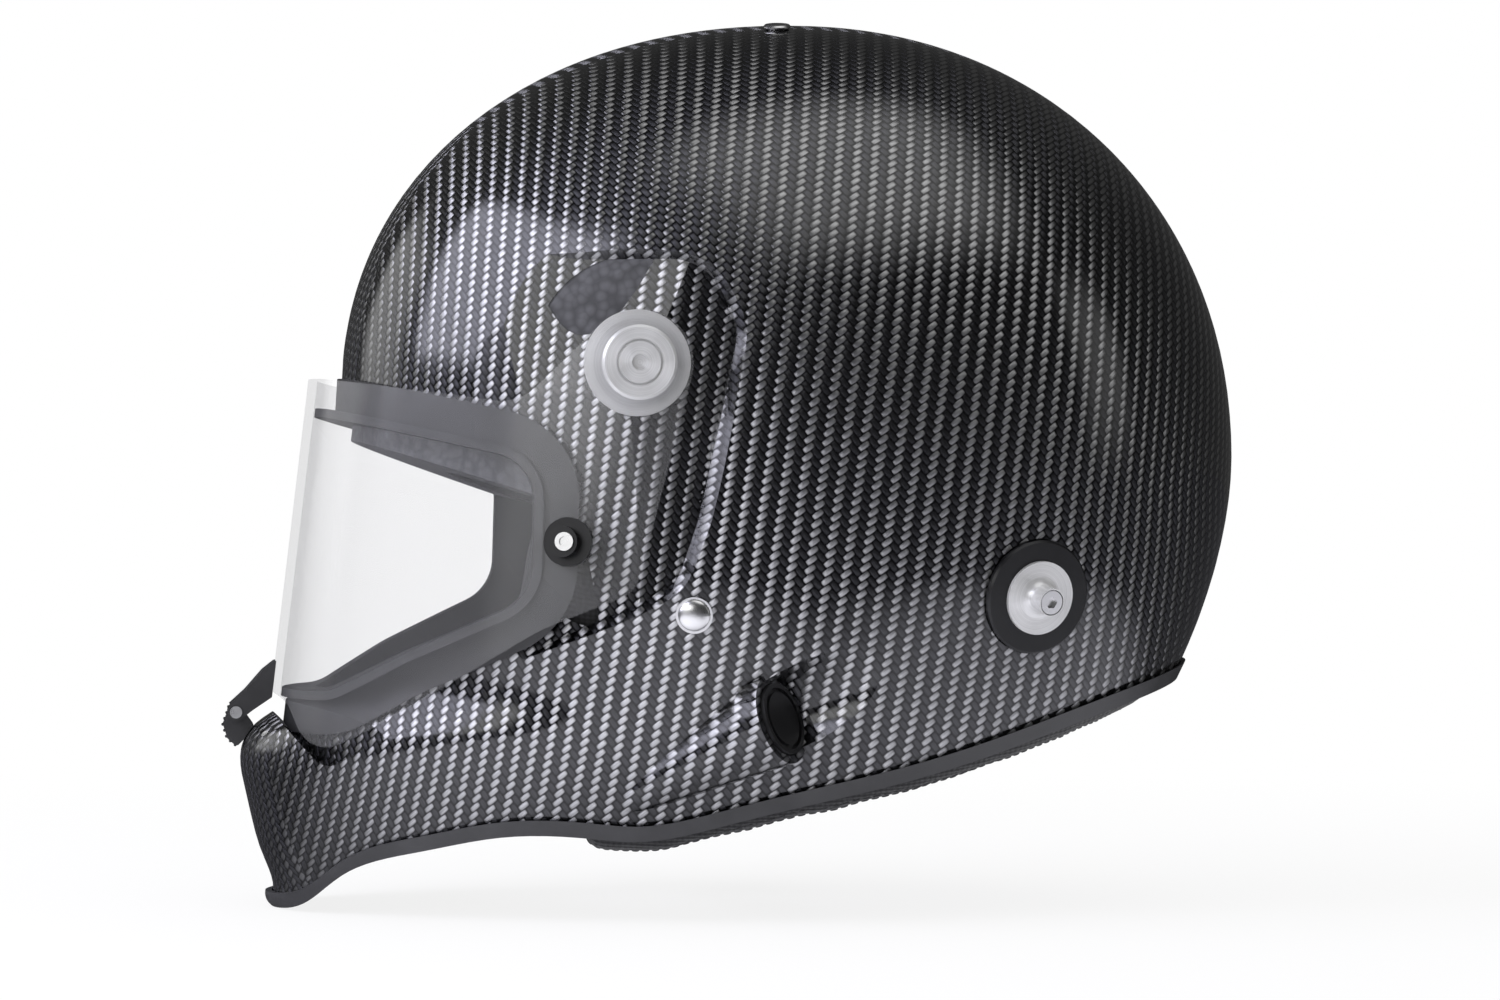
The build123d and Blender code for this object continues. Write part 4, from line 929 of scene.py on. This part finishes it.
    def neck_lines(self, cushion: bpy.types.Object) -> list:
        """Give the two seams round the neck cushion, cast from below.

        Args:
            cushion: the neck cushion.

        Returns:
            Lines of places on the cushion.
        """
        lines = []
        steps_per_degree = 2
        for half_width, half_length in NECK_SEAMS:
            rays = []
            for step in range(360 * steps_per_degree + 1):
                turn = math.radians(step / steps_per_degree)
                place = (half_width * math.cos(turn), 0.005 + half_length * math.sin(turn), BELOW)
                rays.append((place, (0, 0, 1)))
            lines += Caster(cushion).line(rays)
        return lines

    def cheek_lines(self, cushions: dict) -> list:
        """Give the oval seam on each cheek cushion, cast from the middle.

        Args:
            cushions: the padded pieces by name.

        Returns:
            Lines of places on the cushions.
        """
        lines = []
        centre, reach = CHEEK_CENTRE, CHEEK_REACH
        for side, name in ((1, "cheek_cushion_left"), (-1, "cheek_cushion_right")):
            rays = []
            for step in range(361):
                turn = math.radians(step)
                place = (0, centre[0] + reach[0] * math.cos(turn), centre[1] + reach[1] * math.sin(turn))
                rays.append((place, (side, 0, 0)))
            lines += Caster(cushions[name]).line(rays)
        return lines

    def strap_lines(self, straps: list) -> list:
        """Give the seams along both edges of each strap, cast from below.

        Args:
            straps: the two straps.

        Returns:
            Lines of places on the straps.
        """
        lines = []
        pace, count = 0.5 * MILLIMETRE, 400
        for strap in straps:
            for offset in (-STRAP_SEAM_OFFSET, STRAP_SEAM_OFFSET):
                level = STRAP_LINE + offset
                rays = [((0.1 - step * pace, level, BELOW), (0, 0, 1)) for step in range(count)]
                lines += Caster(strap).line(rays)
        return lines

    def build(self) -> None:
        """Build every sub-assembly in order."""
        self.build_shell()
        self.build_visor()
        self.build_rubber()
        self.build_metal()
        self.build_lining()


class LightPlace(Enum):
    """Which side of the helmet a light stands on."""

    OVERHEAD = "overhead"
    FRONT = "front"
    SIDE = "side"
    BROW = "brow"
    KEY = "key"
    REAR = "rear"


@dataclass(frozen=True)
class Softbox:
    """A soft panel of light with faded edges."""

    name: LightPlace
    azimuth_degrees: float
    elevation_degrees: float
    distance: float
    width: float
    height: float
    strength: float
    colour: tuple = (1.0, 1.0, 1.0, 1.0)
    fade: float = 0.12

    def build(self) -> bpy.types.Object:
        """Build the panel, facing the helmet.

        Returns:
            The panel.
        """
        azimuth, elevation = math.radians(self.azimuth_degrees), math.radians(self.elevation_degrees)
        way = Vector((
            math.cos(azimuth) * math.cos(elevation),
            math.sin(azimuth) * math.cos(elevation),
            math.sin(elevation),
        ))
        turn = way.to_track_quat("Z", "Y").to_matrix()
        half = (self.width / 2, self.height / 2)
        corners = [(-half[0], -half[1]), (half[0], -half[1]), (half[0], half[1]), (-half[0], half[1])]
        mesh = bpy.data.meshes.new("softbox_" + self.name.value)
        places = [turn @ Vector((a, b, 0)) + way * self.distance for a, b in corners]
        mesh.from_pydata(places, [], [(0, 3, 2, 1)])
        layer = mesh.uv_layers.new(name="panel")
        for loop in mesh.loops:
            layer.data[loop.index].uv = [(0, 0), (1, 0), (1, 1), (0, 1)][loop.vertex_index]
        panel = bpy.data.objects.new(mesh.name, mesh)
        bpy.context.scene.collection.objects.link(panel)
        mesh.materials.append(self.material())
        panel.visible_camera = False
        panel.visible_transmission = False
        panel.visible_shadow = False
        panel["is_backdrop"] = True
        LOG.info("lit %s", mesh.name)
        return panel

    def material(self) -> bpy.types.Material:
        """Build the panel's glow, which fades near its edges."""
        graph = Graph("glow_" + self.name.value)
        u, v, _ = graph.split(graph.node("ShaderNodeUVMap", uv_map="panel").outputs[0])
        shares = []
        for part in (u, v):
            edge = graph.sum("MINIMUM", part, graph.sum("SUBTRACT", 1.0, part))
            shares.append(graph.remap(edge, 0.0, self.fade))
        glow = graph.node("ShaderNodeEmission", {"Color": self.colour, "Strength": self.strength})
        clear = graph.node("ShaderNodeBsdfTransparent")
        share = graph.sum("MULTIPLY", shares[0], shares[1])
        shader = graph.node("ShaderNodeMixShader", {0: share, 1: clear.outputs[0], 2: glow.outputs[0]})
        return graph.finish(shader.outputs[0])


@dataclass
class Studio:
    """The pale floor, soft lights, pale surroundings and the camera."""

    target: Vector
    distance: float = 1.8
    azimuth_degrees: float = 83.8
    lens_millimetres: float = 129.6
    floor_half: float = 6.0
    floor_white: float = 0.85
    patches: tuple = ((0.26, -0.20, 0.28, 1.5), (0.19, 0.19, 0.28, 1.1))
    cloth_glow: float = 0.05
    room_level: float = 0.7

    def build_camera(self) -> None:
        """Stand the camera level, at the photograph's angle."""
        turn = math.radians(self.azimuth_degrees)
        back = Vector((math.sin(turn), -math.cos(turn), 0.0))
        data = bpy.data.cameras.new("camera")
        data.lens = self.lens_millimetres
        data.sensor_width = 36.0
        data.clip_end = 50.0
        camera = bpy.data.objects.new("camera", data)
        camera.location = self.target + back * self.distance
        camera.rotation_mode = "QUATERNION"
        camera.rotation_quaternion = (-back).to_track_quat("-Z", "Y")
        bpy.context.scene.collection.objects.link(camera)
        bpy.context.scene.camera = camera

    def build_floor(self) -> None:
        """Lay a plain white floor under the helmet."""
        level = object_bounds()[0].z - 0.2 * MILLIMETRE
        half = self.floor_half
        mesh = bpy.data.meshes.new("floor")
        corners = [(-half, -half, level), (half, -half, level), (half, half, level), (-half, half, level)]
        mesh.from_pydata(corners, [], [(0, 1, 2, 3)])
        floor = bpy.data.objects.new("floor", mesh)
        bpy.context.scene.collection.objects.link(floor)
        graph = Graph("pale_floor")
        lit = graph.node("ShaderNodeBsdfDiffuse", {"Color": (0.9, 0.9, 0.9, 1.0)})
        white = graph.node("ShaderNodeEmission", {"Color": (1.0, 1.0, 1.0, 1.0), "Strength": 1.0})
        path = graph.node("ShaderNodeLightPath")
        place = graph.place()
        away = graph.remap(graph.vector("LENGTH", place).outputs["Value"], 0.25, 0.9, self.floor_white, 1.0)
        seen = graph.sum("MAXIMUM", path.outputs["Is Camera Ray"], path.outputs["Is Transmission Ray"])
        mixed = graph.node("ShaderNodeMixShader", {
            0: graph.sum("MULTIPLY", seen, away), 1: lit.outputs[0], 2: white.outputs[0]
        })
        glow = self.cloth_glow
        for x, y, reach, strength in self.patches:
            from_patch = graph.vector("SUBTRACT", place, (x, y, level)).outputs[0]
            near = graph.vector("LENGTH", from_patch).outputs["Value"]
            glow = graph.sum("ADD", glow, graph.remap(near, reach * 0.4, reach, strength, 0.0))
        sheen = graph.node("ShaderNodeEmission", {"Color": (0.92, 0.92, 1.0, 1.0), "Strength": glow})
        mirrored = graph.node("ShaderNodeMixShader", {
            0: path.outputs["Is Glossy Ray"], 1: mixed.outputs[0], 2: sheen.outputs[0]
        })
        mesh.materials.append(graph.finish(mirrored.outputs[0]))
        floor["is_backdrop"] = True

    def build_surroundings(self) -> None:
        """Give white surroundings that light the helmet only a little."""
        world = bpy.data.worlds.new("surroundings")
        bpy.context.scene.world = world
        world.use_nodes = True
        tree = world.node_tree
        tree.nodes.clear()
        path = tree.nodes.new("ShaderNodeLightPath")
        seen = tree.nodes.new("ShaderNodeMath")
        seen.operation = "MAXIMUM"
        tree.links.new(path.outputs["Is Camera Ray"], seen.inputs[0])
        tree.links.new(path.outputs["Is Transmission Ray"], seen.inputs[1])
        glossy = tree.nodes.new("ShaderNodeMath")
        glossy.operation = "MAXIMUM"
        tree.links.new(seen.outputs[0], glossy.inputs[0])
        tree.links.new(path.outputs["Is Glossy Ray"], glossy.inputs[1])
        level = tree.nodes.new("ShaderNodeMapRange")
        level.inputs["To Min"].default_value = self.room_level
        level.inputs["To Max"].default_value = 1.0
        tree.links.new(glossy.outputs[0], level.inputs["Value"])
        back = tree.nodes.new("ShaderNodeBackground")
        back.inputs["Color"].default_value = (1.0, 1.0, 1.0, 1.0)
        tree.links.new(level.outputs[0], back.inputs["Strength"])
        out = tree.nodes.new("ShaderNodeOutputWorld")
        tree.links.new(back.outputs[0], out.inputs["Surface"])

    def build_flag(self) -> None:
        """Hang dark cloth round the studio, which only reflections show."""
        mesh = bpy.data.meshes.new("dark_cloth")
        work = bmesh.new()
        bmesh.ops.create_uvsphere(work, u_segments=48, v_segments=24, radius=4.5)
        work.to_mesh(mesh)
        work.free()
        cloth = bpy.data.objects.new("dark_cloth", mesh)
        bpy.context.scene.collection.objects.link(cloth)
        graph = Graph("dark_cloth")
        white = (1.0, 1.0, 1.0, 1.0)
        shade = graph.node("ShaderNodeEmission", {"Color": white, "Strength": self.cloth_glow})
        mesh.materials.append(graph.finish(shade.outputs[0]))
        cloth.visible_camera = False
        cloth.visible_diffuse = False
        cloth.visible_transmission = False
        cloth.visible_shadow = False
        cloth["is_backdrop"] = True

    def build_lights(self) -> None:
        """Stand the soft panels round the helmet."""
        violet = (0.86, 0.86, 1.0, 1.0)
        for box in (
            Softbox(LightPlace.OVERHEAD, 30.0, 66.0, 1.5, 2.0, 2.0, 1.3, fade=0.35),
            Softbox(LightPlace.FRONT, -78.0, 27.0, 1.6, 1.9, 1.25, 3.6, violet, fade=0.15),
            Softbox(LightPlace.SIDE, -36.0, 10.0, 1.2, 1.0, 0.6, 2.6, fade=0.3),
            Softbox(LightPlace.BROW, -126.0, 14.0, 1.6, 1.0, 1.0, 1.1, fade=0.3),
            Softbox(LightPlace.KEY, -56.0, 33.0, 1.3, 0.8, 0.8, 4.5, violet, fade=0.4),
            Softbox(LightPlace.REAR, 70.0, 14.0, 1.8, 0.7, 1.4, 0.8, fade=0.4),
        ):
            box.build()

    def build(self) -> None:
        """Build the studio."""
        self.build_camera()
        self.build_floor()
        self.build_surroundings()
        self.build_flag()
        self.build_lights()


def main() -> None:
    """Build the helmet and its studio in order."""
    logging.basicConfig(level=logging.INFO, format="%(relativeCreated)d ms %(name)s: %(message)s")
    bpy.context.scene.view_settings.view_transform = "Standard"
    helmet = Helmet((0.119, -0.0593, 0.0095), (0.110, 0.0671, -0.0638), (0.928, 0.295, -0.23))
    helmet.build()
    Studio(Vector((0.0, -0.01207, -0.03333))).build()


if __name__ == "__main__":
    main()
